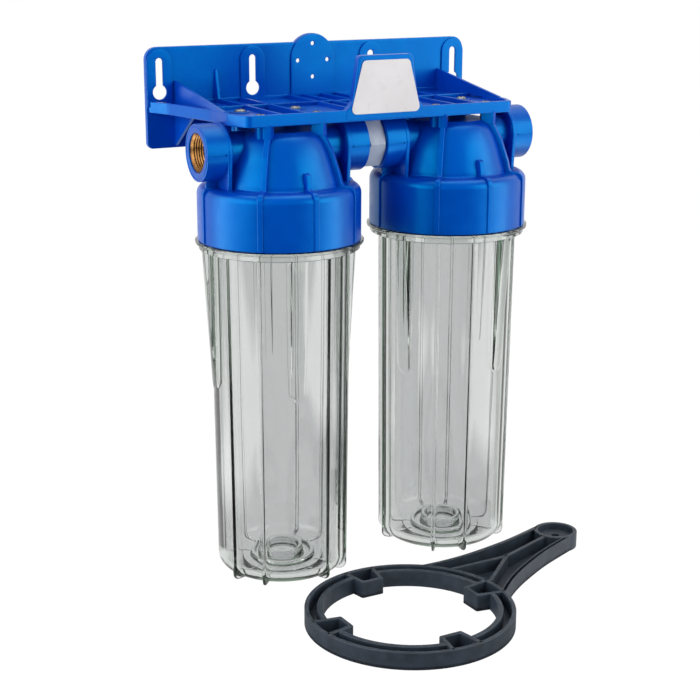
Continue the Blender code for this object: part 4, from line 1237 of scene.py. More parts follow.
@dataclass
class Cap:
    """Blue cap of one unit: hollow turned body with fins, skirt ridges and two ports."""

    side: Side
    low: float = 249.0
    skirt: float = 58.0
    bore: float = 53.6
    seat: float = 268.3
    shoulder: float = 288.0
    shoulder_round: float = 7.5
    shoulder_foot: float = 4.6
    dome_low: float = 44.8
    dome_top: float = 27.0
    top: float = 325.8
    wall: float = 4.0
    inner_dome: float = 40.8
    spout: float = 14.0
    spout_bore: float = 11.0
    spout_low: float = 261.8
    fin_half: float = 1.9
    fin_proud: float = 1.0
    fin_angle: float = 38.7
    fin_low: float = 281.0
    block_half: float = 2.9
    block: tuple[Point, Point] = ((26.0, 322.6), (35.6, 332.4))
    port_radius: float = 19.8
    port_start: float = 45.6
    port_reach: float = 62.3
    port_neck: float = 13.0
    port_inner_end: float = 24.0
    # Ring groove in the port's face: outer edge, outer foot, inner foot and inner edge.
    face_groove: tuple[float, ...] = (18.6, 18.3, 17.7, 17.4)
    groove_depth: float = 0.5
    insert_radius: float = 16.0
    mouth: float = 13.7
    mouth_depth: float = 1.25
    passage: float = 9.0
    web_radius: float = 20.1
    web_near: float = 44.0
    web_far: float = 47.2
    web_low: float = 286.5
    web_fin_reach: float = 56.5
    web_fin_half: float = 1.2
    parting_half: float = 0.22
    parting_depth: float = 0.45
    pit: float = 0.65
    boss: float = 4.2
    boss_low: float = 317.6
    boss_top: float = 332.7

    def body(self) -> Mesh:
        """Turned shell with skirt, shoulder, dome and spout.

        Returns:
            The closed shell.
        """
        skirt, low, top = self.skirt, self.low, self.top
        dome = smooth_chain([
            (self.dome_low - 0.15, self.shoulder + 3.2), (43.0, 296.4), (38.2, 310.6),
            (32.6, 321.0), (self.dome_top + 0.2, top - 0.6)], 6)
        shoulder = fillet([
            (skirt, low, 0.8), (skirt, self.shoulder, self.shoulder_round),
            (self.dome_low, self.shoulder, self.shoulder_foot), dome[0]], 8, closed=False)
        edge = fillet([(skirt - 0.8, low), (skirt, low, 0.7), (skirt, low + 8)], 3, closed=False)
        outside = edge[:-1] + shoulder[1:-1] + dome
        outside += [(self.dome_top - 0.6, top), (self.insert_radius - 4, top), (0.0, top)]
        roof = top - self.wall
        inside = [
            (0.0, roof - 6), (self.spout_bore, roof - 6), (self.spout_bore, self.spout_low),
            (self.spout, self.spout_low), (self.spout, roof - 2), (24.0, roof - 2),
            (33.5, 309.0), (self.inner_dome, 292.0), (self.inner_dome, self.seat),
            (self.bore, self.seat), (self.bore, low + 1.4), (self.bore + 1.3, low)]
        return turned(outside + inside, 144, closed=True)

    def fin_outline(self, kind: str) -> Outline:
        """Radial section of a fin, which follows the skirt, the shoulder and the dome.

        Args:
            kind: "tall" in front and behind, "stub" beside them or "low" at the sides.

        Returns:
            (radius, z) corners, anticlockwise.
        """
        low, deep = self.low + 0.4, self.skirt - 3.0
        proud, shoulder = self.skirt + self.fin_proud, self.shoulder
        over = [(proud, low, 0.6), (proud, shoulder + 0.9, self.shoulder_round)]
        crests = {
            "tall": [(48.6, shoulder + 1.2, 3.0), (46.9, 297.0, 9.0), (41.9, 311.0, 12.0),
                     (37.4, 319.6, 6.0), (35.2, 323.4, 1.2), (31.0, 324.4, 0.6),
                     (29.6, 320.0), (33.0, 314.0), (41.0, 297.0), (44.0, 286.5)],
            "stub": [(48.6, shoulder + 1.4, 2.6), (46.8, 299.6, 1.4), (42.0, 300.6, 0.8),
                     (42.4, 286.5)],
            "low": [(48.0, shoulder + 0.9, 2.0), (46.0, shoulder - 1.0), (46.0, 285.0)]}
        return fillet(over + crests[kind] + [(deep, self.fin_low), (deep, low)], 6)

    def fins(self) -> list[Mesh]:
        """All fins of the cap.

        Returns:
            The fins as closed plates.
        """
        result = []
        angle, half = self.fin_angle, self.fin_half
        plan = (("tall", angle), ("tall", -angle), ("tall", 180 - angle),
                ("tall", 180 + angle), ("stub", 0.0), ("stub", 180.0), ("low", 90.0),
                ("low", -90.0))
        for kind, degrees in plan:
            axes = radial_axes(math.radians(degrees))
            result.append(plate([self.fin_outline(kind)], -half, half, 0.55, axes, 3))
            if kind == "tall":
                # A short block carries the shelf over the end of the fin.
                block = box(*self.block)
                result.append(plate([block], -self.block_half, self.block_half, 0.6, axes))
        return result

    def port(self, side: Side) -> list[Mesh]:
        """One port: boss with a grooved face, neck, shield web and its fin.

        Args:
            side: Which way it points.

        Returns:
            Its closed shells.
        """
        way = side.value
        outer, face, start = self.port_radius, self.port_reach, self.port_start
        inner, mouth = self.insert_radius, face - self.mouth_depth
        rim, rim_foot, hub_foot, hub = self.face_groove
        groove = face - self.groove_depth
        boss = fillet([
            (outer, start), (outer, face, 1.5), (rim, face, 0.25), (rim_foot, groove, 0.2),
            (hub_foot, groove, 0.2), (hub, face, 0.25), (self.mouth, face, 0.5),
            (self.mouth, mouth), (inner, mouth), (inner, start + 0.2),
            (self.passage, start + 0.2), (self.passage, self.port_inner_end),
            (self.port_neck, self.port_inner_end), (self.port_neck + 0.4, start - 2.0),
            (outer - 1.0, start - 2.0), (outer, start - 1.0)], 4)
        axes = at(z=PORT_Z) @ axes_matrix(((0, 1, 0), (0, 0, way), (way, 0, 0)))
        parts = [self.parted(moved(turned(boss, 96, closed=True), axes), side)]
        near, far = sorted((way * self.web_near, way * self.web_far))
        outlines = [self.tombstone(self.web_radius), circle((0, 0), inner, 48)]
        shield = plate(outlines, near, far, 0.8, Plane.SIDE.value, 3)
        shield.transform(at(z=PORT_Z))
        parts.append(shield)
        fin_axes = ((way, 0, 0), (0, 0, 1), (0, -way, 0))
        fin = fillet([
            (self.web_far - 1.0, 279.9), (self.web_fin_reach - 1.5, 281.5, 2.0),
            (self.web_fin_reach, 290.5, 3.0), (self.web_far + 5.0, 296.5, 3.0),
            (self.web_far - 1.0, 297.5)], 4)
        parts.append(plate([fin], -self.web_fin_half, self.web_fin_half, 0.5, fin_axes))
        return parts

    def parted(self, boss: Mesh, side: Side) -> Mesh:
        """Cuts the mould's parting line along a boss, front and back, with a pit at its end.

        Args:
            boss: The boss.
            side: Which way it points.

        Returns:
            The boss with its lines.
        """
        depth, over = self.port_radius - self.parting_depth, self.port_radius + 2.0
        start, end = side.value * (self.web_far + 1.6), side.value * (self.port_reach - 1.4)
        near, far = sorted((start, end))
        half = self.parting_half
        groove = box((near, PORT_Z - half), (far, PORT_Z + half))
        pit = circle((start, PORT_Z), self.pit, 12)
        for way in (-1, 1):
            for outline, foot in ((groove, depth), (pit, depth - 0.8)):
                span = sorted((way * foot, way * over))
                cutter = plate([outline], *span, 0.0, Plane.FRONT.value, 1)
                boss = combined(boss, cutter, "DIFFERENCE")
        return boss

    def tombstone(self, radius: float) -> Outline:
        """Round-topped outline of the shield web round the port's axis.

        Args:
            radius: Radius of its top.

        Returns:
            (y, z) points, anticlockwise.
        """
        low = self.web_low - PORT_Z
        foot = [(-radius + 2.0, low), (radius - 2.0, low)]
        return foot + arc((0.0, 0.0), radius, 0, 180, 32)

    def bosses(self) -> list[Mesh]:
        """Screw bosses on the dome, under the shelf.

        Returns:
            The four bosses.
        """
        radius, low, top = self.boss, self.boss_low, self.boss_top
        profile = [(0.0, low), (radius, low), (radius, top - 0.5), (radius - 0.5, top),
                   (0.0, top)]
        return [moved(turned(profile, 32), at(*place)) for place in screw_places(0.0)]

    def build(self, materials: Materials) -> None:
        """Builds the cap.

        Args:
            materials: The built materials.
        """
        word = self.side.word
        ports = self.port(Side.LEFT) + self.port(Side.RIGHT)
        cap = joined([self.body()] + self.fins() + ports + self.bosses())
        cap.transform(at(self.side.value * UNIT_X))
        dress(cap, f"cap_{word}_moulded", Body.HEAD, materials.blue,
              [f"cap_{word}"], smooth=34.0)


# Bracket


@dataclass
class Bracket:
    """Wall bracket: ribbed shelf, back plate with keyholes, gussets and the badge."""

    underside: float = 333.0
    floor: float = 335.0
    strip: float = 336.2
    lip_low: float = 331.0
    lip_top: float = 339.2
    lip_wall: float = 3.0
    front: float = -28.6
    front_half: float = 106.0
    corner_y: float = -9.5
    side_half: float = 113.2
    flare_y: float = 16.0
    flare_half: float = 125.0
    flare_end: float = 67.0
    # Radii of the shelf's corners, from the back left round the front to the back right.
    corner_radii: tuple[float, ...] = (
        0.0, 40.0, 40.0, 12.0, 5.0, 5.0, 12.0, 40.0, 40.0, 0.0)
    plate_half: float = 134.0
    plate_front: float = 84.9
    plate_back: float = 89.4
    plate_low: float = 304.8
    plate_top: float = 377.6
    plate_corner: float = 9.0
    tab_radius: float = 18.8
    tab_z: float = 365.0
    tab_holes: float = 12.4
    tab_holes_z: float = 364.0
    tab_hole: float = 1.5
    rib: float = 2.4
    rib_top: float = 339.0
    rib_x: tuple[float, ...] = (8.0, 20.0, 60.0, 78.6)
    cross_y: float = 36.0
    cross_half: float = 110.8
    keyhole_x: tuple[float, ...] = (50.0, 124.0)
    slot: float = 5.2
    slot_top: float = 369.8
    mouth: float = 10.6
    mouth_low: float = 340.2
    pad: float = 19.6
    pad_proud: float = 1.3
    pad_wall: float = 1.5
    pad_top: float = 376.2
    skin: float = 1.8
    gusset: float = 2.4
    gusset_inset: float = 0.5
    small_gusset_x: float = 79.5
    small_gusset_half: float = 1.1
    small_gusset_top: float = 360.0
    badge_low: float = 331.6
    badge_top: float = 376.0
    badge_foot_half: float = 31.6
    badge_top_half: float = 21.3
    badge_back: float = 22.6
    film_low: Point = (28.0, 336.0)
    film_high: Point = (18.5, 372.7)
    film_corner: float = 3.5
    film_span: Point = (28.9, 29.7)

    def outline(self) -> Outline:
        """Plan of the shelf, anticlockwise from the back left.

        Returns:
            Its corners.
        """
        right = [
            (self.front_half, self.front), (self.side_half, self.corner_y),
            (self.side_half, self.flare_y), (self.flare_half, self.flare_end),
            (self.plate_half - 0.6, self.plate_front + 2.0)]
        return [(-x, y) for x, y in reversed(right)] + right

    def shelf(self) -> list[Mesh]:
        """Shelf floor with its recesses, the lip round it and the ribs on it.

        Returns:
            Closed shells.
        """
        outline = self.outline()
        edge = [self.rounded_plan(outline), self.rounded_plan(inset(outline, self.lip_wall))]
        lip = plate(edge, self.lip_low, self.lip_top, 0.7, steps=3)
        inner = inset(outline, 1.2)
        near, far = self.front + self.lip_wall + 0.4, self.cross_y
        a, b, c, d = self.rib_x
        half, wall = self.rib / 2 - 0.5, self.rib / 2
        wells = []
        for low, high in ((-a, a), (a, b), (c, d), (-b, -a), (-d, -c)):
            corners = box((low + half, near), (high - half, far))
            wells.append(fillet([(x, y, 0.8) for x, y in corners], 3))
        strip = plate([inner] + wells, self.floor - 0.4, self.strip, 0.15, steps=1)
        # The wells between the outer pairs of ribs are deeper, with floors of their own.
        deep = [wells[2], wells[4]]
        floor = plate([inner] + deep, self.underside, self.floor, 0.2, steps=1)
        shells = [lip, floor, strip]
        for side in (-1, 1):
            low_x, high_x = sorted((side * (c - half), side * (d + half)))
            shells.append(self.bar((low_x, near - 1.2), (high_x, far + 1.0),
                                   self.underside - 1.3, self.underside + 0.2, 0.4))
        start, end, foot = self.front + 1.5, self.plate_front + 0.6, self.floor - 0.6
        for x in (*self.rib_x, *(-x for x in self.rib_x)):
            shells.append(self.bar((x - wall, start), (x + wall, end), foot, self.rib_top))
        shells.append(self.bar((-self.cross_half, self.cross_y - wall),
                               (self.cross_half, self.cross_y + wall),
                               foot, self.rib_top - 0.2))
        return shells

    def rounded_plan(self, outline: Outline) -> Outline:
        """Rounds the moulded corners of the shelf's plan.

        Args:
            outline: Its corners.

        Returns:
            The rounded outline.
        """
        corners = zip(outline, self.corner_radii)
        return fillet([(x, y, radius) for (x, y), radius in corners], 6)

    def bar(self, low: Point, high: Point, bottom: float, top: float,
            round_over: float = 0.5) -> Mesh:
        """Straight rib between two corners, from bottom to top, with rounded edges."""
        return plate([box(low, high)], bottom, top, round_over)

    def arched(self, middle: float, half: float, low: float, top: float) -> Outline:
        """Round-topped outline.

        Args:
            middle: Its middle x.
            half: Half its width.
            low: Its foot.
            top: Its top.

        Returns:
            Its points, anticlockwise.
        """
        dome = arc((middle, top - half), half, 0, 180, 24)
        return [(middle - half, low), (middle + half, low)] + dome

    def keyhole(self, middle: float) -> Outline:
        """Keyhole with its wide mouth below.

        Args:
            middle: Its middle x.

        Returns:
            Its points, anticlockwise.
        """
        slot, mouth = self.slot / 2, self.mouth / 2
        neck = math.degrees(math.acos(slot / mouth))
        top = arc((middle, self.slot_top - slot), slot, 0, 180, 12)
        return top + arc((middle, self.mouth_low + mouth), mouth, 180 - neck, 360 + neck, 28)

    def plate_edge(self, inwards: float) -> Outline:
        """Outline of the back plate with its tab.

        Args:
            inwards: How far inside the real edge.

        Returns:
            Its points, anticlockwise.
        """
        half, radius = self.plate_half - inwards, self.tab_radius - inwards
        low, high = self.plate_low + inwards, self.plate_top - inwards
        corner = self.plate_corner - inwards
        rise = math.degrees(math.asin((high - self.tab_z) / radius))
        tab = arc((0.0, self.tab_z), radius, rise, 180 - rise, 28)
        return fillet([(-half, low, 4.0), (half, low, 4.0), (half, high, corner), *tab,
                       (-half, high, corner)], 6)

    def back_plate(self) -> list[Mesh]:
        """Back plate with its tab, pads and holes.

        Returns:
            Closed shells.
        """
        flat = Plane.FRONT.value
        places = [side * x for side in (-1, 1) for x in self.keyhole_x]
        out = self.tab_holes
        small = [circle((x, self.tab_holes_z + z), self.tab_hole, 16)
                 for x, z in ((out, 0), (-out, 0), (0, out), (0, -out))]
        cuts = [[self.keyhole(x)] for x in places] + [small]
        pads, cores = [], []
        for outlines, wall in ((pads, 0.0), (cores, self.pad_wall)):
            low, half = self.floor + wall, self.tab_radius - 0.4 - wall
            for x in places:
                outlines.append(
                    self.arched(x, self.pad / 2 - wall, low, self.pad_top - wall))
            outlines.append(self.arched(0.0, half, low, self.tab_z + half))
        front, back = -self.plate_front, -self.plate_back
        near = front + self.pad_proud
        # The plate is a skin with a rim behind it; each pad is a shallow cup, so its holes
        # are only a skin deep.
        skin = plate([self.plate_edge(0.0)] + cores, front - self.skin, front, 0.6, flat)
        rim = plate([self.plate_edge(0.1), self.plate_edge(2.6)], back, front - 0.9, 0.4,
                    flat)
        shells = [skin, rim]
        for pad, core, holes in zip(pads, cores, cuts):
            shells.append(plate([pad, core], back, near - 0.5, 0.4, flat))
            shells.append(plate([pad] + holes, near - self.skin, near, 0.45, flat))
        return shells

    def gussets(self) -> list[Mesh]:
        """Gussets between shelf and back plate.

        Returns:
            Closed shells.
        """
        upright = Plane.SIDE.value
        back, floor, top = self.plate_front + 0.6, self.floor, self.small_gusset_top
        tall = fillet([(back, floor), (-4.0, self.lip_top - 1.2),
                       (-4.0, self.lip_top + 0.6, 0.5), (back, 353.5)], 4)
        low = [(45.0, floor), (back, self.plate_low + 0.8), (back, floor)]
        foot = self.plate_front - 5.5
        small = fillet([(foot, floor), (back, floor), (back, top),
                        (self.plate_front - 1.2, top, 0.8), (foot, self.lip_top, 2.0)], 4)
        outer = self.side_half - self.gusset_inset
        shells = []
        for side in (-1, 1):
            # They stand a little inside the lip, so that no two faces share a plane.
            span = sorted((side * (outer - self.gusset), side * outer))
            shells += [plate([shape], *span, 0.6, upright) for shape in (tall, low)]
            x, half = side * self.small_gusset_x, self.small_gusset_half
            shells.append(plate([small], x - half, x + half, 0.5, upright))
        return shells

    def bosses(self) -> list[Mesh]:
        """Rings round the screws on top, set out on the screws' places.

        Returns:
            Closed shells.
        """
        low, shoulder, top = self.strip - 0.4, self.strip + 0.5, self.strip + 0.8
        ring = [(4.9, low), (7.4, low), (7.4, shoulder), (7.1, top), (5.2, top),
                (4.9, shoulder)]
        places = screw_places(-UNIT_X) + screw_places(UNIT_X)
        return [moved(turned(ring, 40, closed=True), at(*place)) for place in places]

    def badge(self) -> Mesh:
        """Upright badge in front, with a spreading foot.

        Returns:
            The closed shell.
        """
        foot, half, top = self.badge_foot_half, self.badge_top_half, self.badge_top
        right = [(foot, self.badge_low, 0.8), (foot, 338.4, 1.5), (half + 4.9, 343.5, 14.0),
                 (half, top, 3.0)]
        left = [(-x, z, radius) for x, z, radius in reversed(right)]
        return plate([fillet(right + left, 6)], self.badge_back, -self.front + 0.2, 0.9,
                     Plane.FRONT.value, 3)

    def build(self, materials: Materials) -> None:
        """Builds the bracket and its label.

        Args:
            materials: The built materials.
        """
        shells = self.shelf() + self.back_plate() + self.gussets() + self.bosses()
        dress(joined(shells + [self.badge()]), "bracket_moulded", Body.HEAD, materials.blue,
              ["bracket"], smooth=34.0)
        (low_half, low), (high_half, high) = self.film_low, self.film_high
        corners = [(-low_half, low), (low_half, low), (high_half, high), (-high_half, high)]
        face = fillet([(x, z, self.film_corner) for x, z in corners], 6)
        film = plate([face], *self.film_span, 0.3, Plane.FRONT.value)
        dress(film, "label_film", Body.HEAD, materials.film, ["label_plate"],
              smooth=40.0)


# Fittings


@dataclass
class Fittings:
    """Screws, threaded port inserts and the nipple between the units."""

    seat: float = 336.5
    head: float = 4.0
    head_height: float = 2.3
    shank: float = 1.7
    shank_length: float = 20.0
    recess_length: float = 2.7
    recess_half: float = 0.55
    recess_floor: float = 0.5
    screw_turns: Point = (0.0, 1.5)
    screw_seed: int = 7
    insert_near: float = 46.0
    insert_far: float = 61.0
    insert_radius: float = 15.9
    waist: float = 1.2
    waist_half: float = 2.0
    bore: float = 12.1
    thread_depth: float = 1.1
    thread_size: float = 1.05
    pitch: float = 1.814
    flats: float = 33.0
    hex_half: float = 6.9
    hex_chamfer: float = 1.7
    spigot: float = 11.8
    spigot_reach: float = 19.9
    nipple_bore: float = 8.5

    def screw(self) -> Mesh:
        """Pan head with a cross recess and a plain shank.

        Returns:
            One screw, seated at z = 0.
        """
        top, length = self.head_height, self.shank_length
        solid = turned([
            (0.0, top), (1.4, top - 0.05), (2.7, top - 0.35), (3.5, top - 0.9),
            (self.head, 0.7), (self.head, 0.15), (self.head - 0.15, 0.0), (self.shank, 0.0),
            (self.shank, -length), (0.0, -length)], 32)
        long, short = self.recess_length, self.recess_half
        for x, y in ((long, short), (short, long)):
            arm = plate([box((-x, -y), (x, y))], self.recess_floor, 3.0, 0.0, steps=1)
            solid = combined(solid, arm, "DIFFERENCE")
        return solid

    def screws(self, finish: Material) -> Mesh:
        """All eight screws, set out and turned by a rule.

        Args:
            finish: Their material.

        Returns:
            The screws in one mesh.
        """
        sample = temporary(self.screw())
        rule = Rule("set_out_screws")
        item = rule.add("GeometryNodeObjectInfo", {}, {"Object": rule.thing("Screw", sample)})
        turn = rule.add("FunctionNodeRandomValue", {"data_type": "FLOAT"}, {})
        spread = [socket for socket in turn.inputs
                  if socket.name in ("Min", "Max") and socket.type == "VALUE"]
        spread[0].default_value, spread[1].default_value = self.screw_turns
        seed = next(socket for socket in turn.inputs if socket.name == "Seed")
        seed.default_value = self.screw_seed
        angle = next(socket for socket in turn.outputs if socket.type == "VALUE")
        spin = rule.add("ShaderNodeCombineXYZ", {}, {2: angle})
        placed = rule.add("GeometryNodeInstanceOnPoints", {}, {
            "Points": rule.start.outputs[0], "Instance": item.outputs["Geometry"],
            "Rotation": spin})
        base = bpy.data.meshes.new("screw_places")
        places = screw_places(-UNIT_X, self.seat) + screw_places(UNIT_X, self.seat)
        base.from_pydata(places, [], [])
        mesh = rule.mesh(placed.outputs[0], finish, base)
        bpy.data.objects.remove(sample, do_unlink=True)
        return mesh

    def insert(self, finish: Material) -> Mesh:
        """Brass insert with a flat face, a waist and a threaded bore; stands on z = 0.

        Args:
            finish: Its material.

        Returns:
            The insert.
        """
        length = self.insert_far - self.insert_near
        low, high = length / 2 - self.waist_half, length / 2 + self.waist_half
        outer, root = self.insert_radius, self.bore + self.thread_depth
        waist = outer - self.waist
        ring = turned([
            (root, 0.0), (outer, 0.0), (outer, low), (waist, low), (waist, high),
            (outer, high), (outer, length - 0.3), (outer - 0.3, length),
            (root + 0.7, length), (root, length - 0.9)], 96, closed=True)
        turns = (length - 2 * self.thread_depth) / self.pitch
        ridge = helix_rule("cut_port_thread", root, self.pitch, turns, self.thread_size, 4,
                           finish)
        return joined([ring, moved(ridge, at(z=self.thread_depth))])

    def nipple(self) -> Mesh:
        """Hexagon nipple with chamfered corners, spigots and a bore; its axis is z.

        Returns:
            The nipple.
        """
        corner, half, reach = self.flats / math.sqrt(3), self.hex_half, self.spigot_reach
        bore, spigot = self.nipple_bore, self.spigot
        block = plate([arc((0, 0), corner, 30, 330, 5)], -half, half, 0.25)
        inner, outer, low = corner - 2.3, corner + 0.6, half - self.hex_chamfer
        cone = turned([(0.0, -half), (inner, -half), (outer, -low), (outer, low),
                       (inner, half), (0.0, half)], 96)
        block = combined(block, cone, "INTERSECT")
        pipe = turned([
            (bore, -reach), (spigot - 0.6, -reach), (spigot, 0.6 - reach),
            (spigot, reach - 0.6), (spigot - 0.6, reach), (bore, reach)], 64, closed=True)
        cutter = bore - 0.01
        hole = turned([(0.0, -30.0), (cutter, -30.0), (cutter, 30.0), (0.0, 30.0)], 64)
        return joined([combined(block, hole, "DIFFERENCE"), pipe])

    def build(self, materials: Materials) -> None:
        """Builds all fittings.

        Args:
            materials: The built materials.
        """
        heads = [f"bracket_screw_{index}" for index in range(1, 9)]
        dress(self.screws(materials.steel), "pan_head_screws", Body.HEAD, materials.steel,
              heads, smooth=30.0)
        for unit in Side:
            for side, word in ((Side.LEFT, "inlet"), (Side.RIGHT, "outlet")):
                name = f"{word}_insert_{unit.word}"
                x = unit.value * UNIT_X + side.value * self.insert_near
                turn = Matrix.Rotation(math.radians(90 * side.value), 4, "Y")
                mesh = moved(self.insert(materials.brass), at(x, 0, PORT_Z) @ turn)
                dress(mesh, f"{name}_turned", Body.HEAD, materials.brass, [name],
                      smooth=35.0)
        place = at(z=PORT_Z) @ Matrix.Rotation(math.radians(90), 4, "Y")
        dress(moved(self.nipple(), place), "hex_nipple_moulded", Body.HEAD,
              materials.nylon, ["hex_nipple"], smooth=32.0)


# Wrench


@dataclass
class Wrench:
    """Sump wrench: channelled ring, four hollow lugs and a ribbed handle with a cup."""

    x: float = -38.0
    y: float = -136.0
    height: float = 12.4
    radius: float = 72.8
    wall: float = 3.1
    inner: float = 60.3
    inner_wall: float = 3.8
    floor: float = 3.0
    lug_count: int = 4
    lug_face: float = 49.6
    lug_half: float = 10.0
    lug_wall: float = 3.0
    lug_first: float = 1.5
    lug_lap: float = 0.9
    handle_angle: float = 21.8
    reach: float = 183.65
    handle_half: float = 16.0
    # Share of the handle's length and factor on its half width at the end.
    shares: tuple[Point, ...] = (
        (0.23, 2.95), (0.32, 2.42), (0.42, 1.95), (0.53, 1.58), (0.66, 1.30), (0.80, 1.10),
        (1.0, 1.0))
    rib: float = 3.0
    rib_low: float = 0.5
    branch: float = 117.0
    spread: float = 17.0
    cup: float = 16.5
    cup_floor: float = 8.0
    cup_hole: float = 3.0
    steps: int = 160

    def lug(self) -> Mesh:
        """Walls and floor of one lug, pointing along +x.

        Returns:
            Its shells in one mesh.
        """
        slope = math.tan(math.radians(self.lug_half))
        side = self.lug_wall / math.cos(math.radians(self.lug_half))
        outlines = []
        for near, far, wall, corner, steps in (
                (self.lug_face, self.radius - 1.4, 0.0, 1.6, 4),
                (self.lug_face + self.lug_wall, self.radius - self.wall + 0.5, side, 1.0, 3)):
            near_half, far_half = near * slope - wall, far * slope - wall
            outlines.append(fillet([
                (near, -near_half, corner), (far, -far_half), (far, far_half),
                (near, near_half, corner)], steps))
        return joined([plate(outlines, 0.0, self.height, 0.55, steps=3),
                       plate(outlines[:1], 0.0, self.floor)])

    def lugs(self, finish: Material) -> Mesh:
        """The lugs, set out round the ring by a rule.

        Args:
            finish: Their material.

        Returns:
            All lugs in one mesh.
        """
        sample = temporary(self.lug())
        rule = Rule("set_out_lugs")
        count = rule.size("Lug Count", self.lug_count)
        first = rule.size("First Angle", math.radians(self.lug_first))
        item = rule.add("GeometryNodeObjectInfo", {}, {"Object": rule.thing("Lug", sample)})
        points = rule.add("GeometryNodeMeshLine", {},
                          {"Count": count, "Offset": (0.0, 0.0, 0.0)})
        number = rule.add("GeometryNodeInputIndex")
        step = rule.add(MATH, {"operation": "DIVIDE"}, {0: math.tau, 1: count})
        turned_by = rule.add(MATH, {"operation": "MULTIPLY"}, {0: number, 1: step})
        angle = rule.add(MATH, {"operation": "ADD"}, {0: first, 1: turned_by})
        spin = rule.add("ShaderNodeCombineXYZ", {}, {2: angle})
        placed = rule.add("GeometryNodeInstanceOnPoints", {}, {
            "Points": points, "Instance": item.outputs["Geometry"], "Rotation": spin})
        mesh = rule.mesh(placed.outputs[0], finish)
        bpy.data.objects.remove(sample, do_unlink=True)
        return mesh

    def ring(self) -> list[Mesh]:
        """Floor, outer wall and the inner walls between the lugs.

        Returns:
            Closed shells.
        """
        whole, hole, channel = (
            circle((0, 0), radius, self.steps)
            for radius in (self.radius, self.inner, self.radius - self.wall))
        shells = [plate([whole, hole], 0.0, self.floor, 0.6),
                  plate([whole, channel], 0.0, self.height, 0.6, steps=3)]
        gap = 360 / self.lug_count
        for index in range(self.lug_count):
            start = self.lug_first + gap * index + self.lug_half - self.lug_lap
            end = start + gap - 2 * (self.lug_half - self.lug_lap)
            band = arc((0, 0), self.inner + self.inner_wall, start, end, 32)
            band += arc((0, 0), self.inner, end, start, 32)
            shells.append(plate([band], 0.0, self.height, 0.55, steps=3))
        return shells

    def handle_outline(self, shift: float) -> Outline:
        """Plan of the handle along its own axis.

        Args:
            shift: How far its sides move inwards.

        Returns:
            Its points, anticlockwise.
        """
        side = smooth_chain([(self.reach * along, self.handle_half * half)
                             for along, half in self.shares], 5)
        side = [(x, y - shift) for x, y in side]
        return [(x, -y) for x, y in side] + side[::-1]

    def handle(self) -> list[Mesh]:
        """Handle with its walls and ribs.

        Returns:
            Closed shells along +x.
        """
        cutters = []
        for radius, x, steps in ((self.radius, 0.0, self.steps), (self.cup, self.reach, 64)):
            hole = radius - 1.5
            post = turned([(0.0, -5.0), (hole, -5.0), (hole, 30.0), (0.0, 30.0)], steps)
            cutters.append(moved(post, at(x)))
        outer = self.handle_outline(0.0)
        shells = [plate([outer, self.handle_outline(self.wall)], 0.0, self.height, 0.6,
                        steps=3),
                  plate([outer], 0.0, self.floor, 0.6)]
        for cutter in cutters:
            shells = [combined(shell, cutter.copy(), "DIFFERENCE") for shell in shells]
        top, half = self.height - 0.4, self.rib / 2
        spine = box((self.branch - 1.0, -half), (self.reach - self.cup + 1.0, half))
        shells.append(plate([spine], self.rib_low, top))
        fork = Vector((self.branch, 0.0))
        for side in (-1, 1):
            foot = Vector((self.radius - 1.2, side * self.spread))
            along = (fork - foot).normalized() * half
            across = Vector((-along.y, along.x))
            tip = fork + along
            branch = [foot - across, tip - across, tip + across, foot + across]
            shells.append(plate([[(p.x, p.y) for p in branch]], self.rib_low, top))
        return shells

    def cup_shells(self) -> list[Mesh]:
        """Round cup at the end of the handle.

        Returns:
            Closed shells along +x.
        """
        rim, inside, disc = (circle((self.reach, 0.0), radius, 72)
                             for radius in (self.cup, self.cup - self.wall, self.cup - 1.2))
        hole = circle((self.reach, 0.0), self.cup_hole, 32)
        return [plate([rim, inside], 0.0, self.height, 0.6, steps=3),
                plate([disc, hole], 0.3, self.cup_floor)]

    def build(self, materials: Materials) -> None:
        """Builds the wrench.

        Args:
            materials: The built materials.
        """
        turn = Matrix.Rotation(math.radians(self.handle_angle), 4, "Z")
        shells = self.ring() + [self.lugs(materials.dark)]
        shells += [moved(shell, turn) for shell in self.handle() + self.cup_shells()]
        whole = joined(shells)
        whole.transform(at(self.x, self.y))
        dress(whole, "housing_wrench_moulded", Body.WRENCH, materials.dark,
              ["housing_wrench"], smooth=34.0)


# Studio


@dataclass(frozen=True)
class Softbox:
    """A rectangular lamp that faces a point, in metres and watts."""

    name: str
    place: Triple
    target: Triple
    width: float
    height: float
    power: float

    def build(self) -> None:
        """Builds the lamp."""
        lamp = bpy.data.lights.new(self.name, "AREA")
        lamp.shape = "RECTANGLE"
        lamp.size, lamp.size_y = self.width, self.height
        lamp.energy = self.power
        item = bpy.data.objects.new(self.name, lamp)
        item.location = self.place
        way = Vector(self.target) - Vector(self.place)
        item.rotation_euler = way.to_track_quat("-Z", "Y").to_euler()
        bpy.context.scene.collection.objects.link(item)


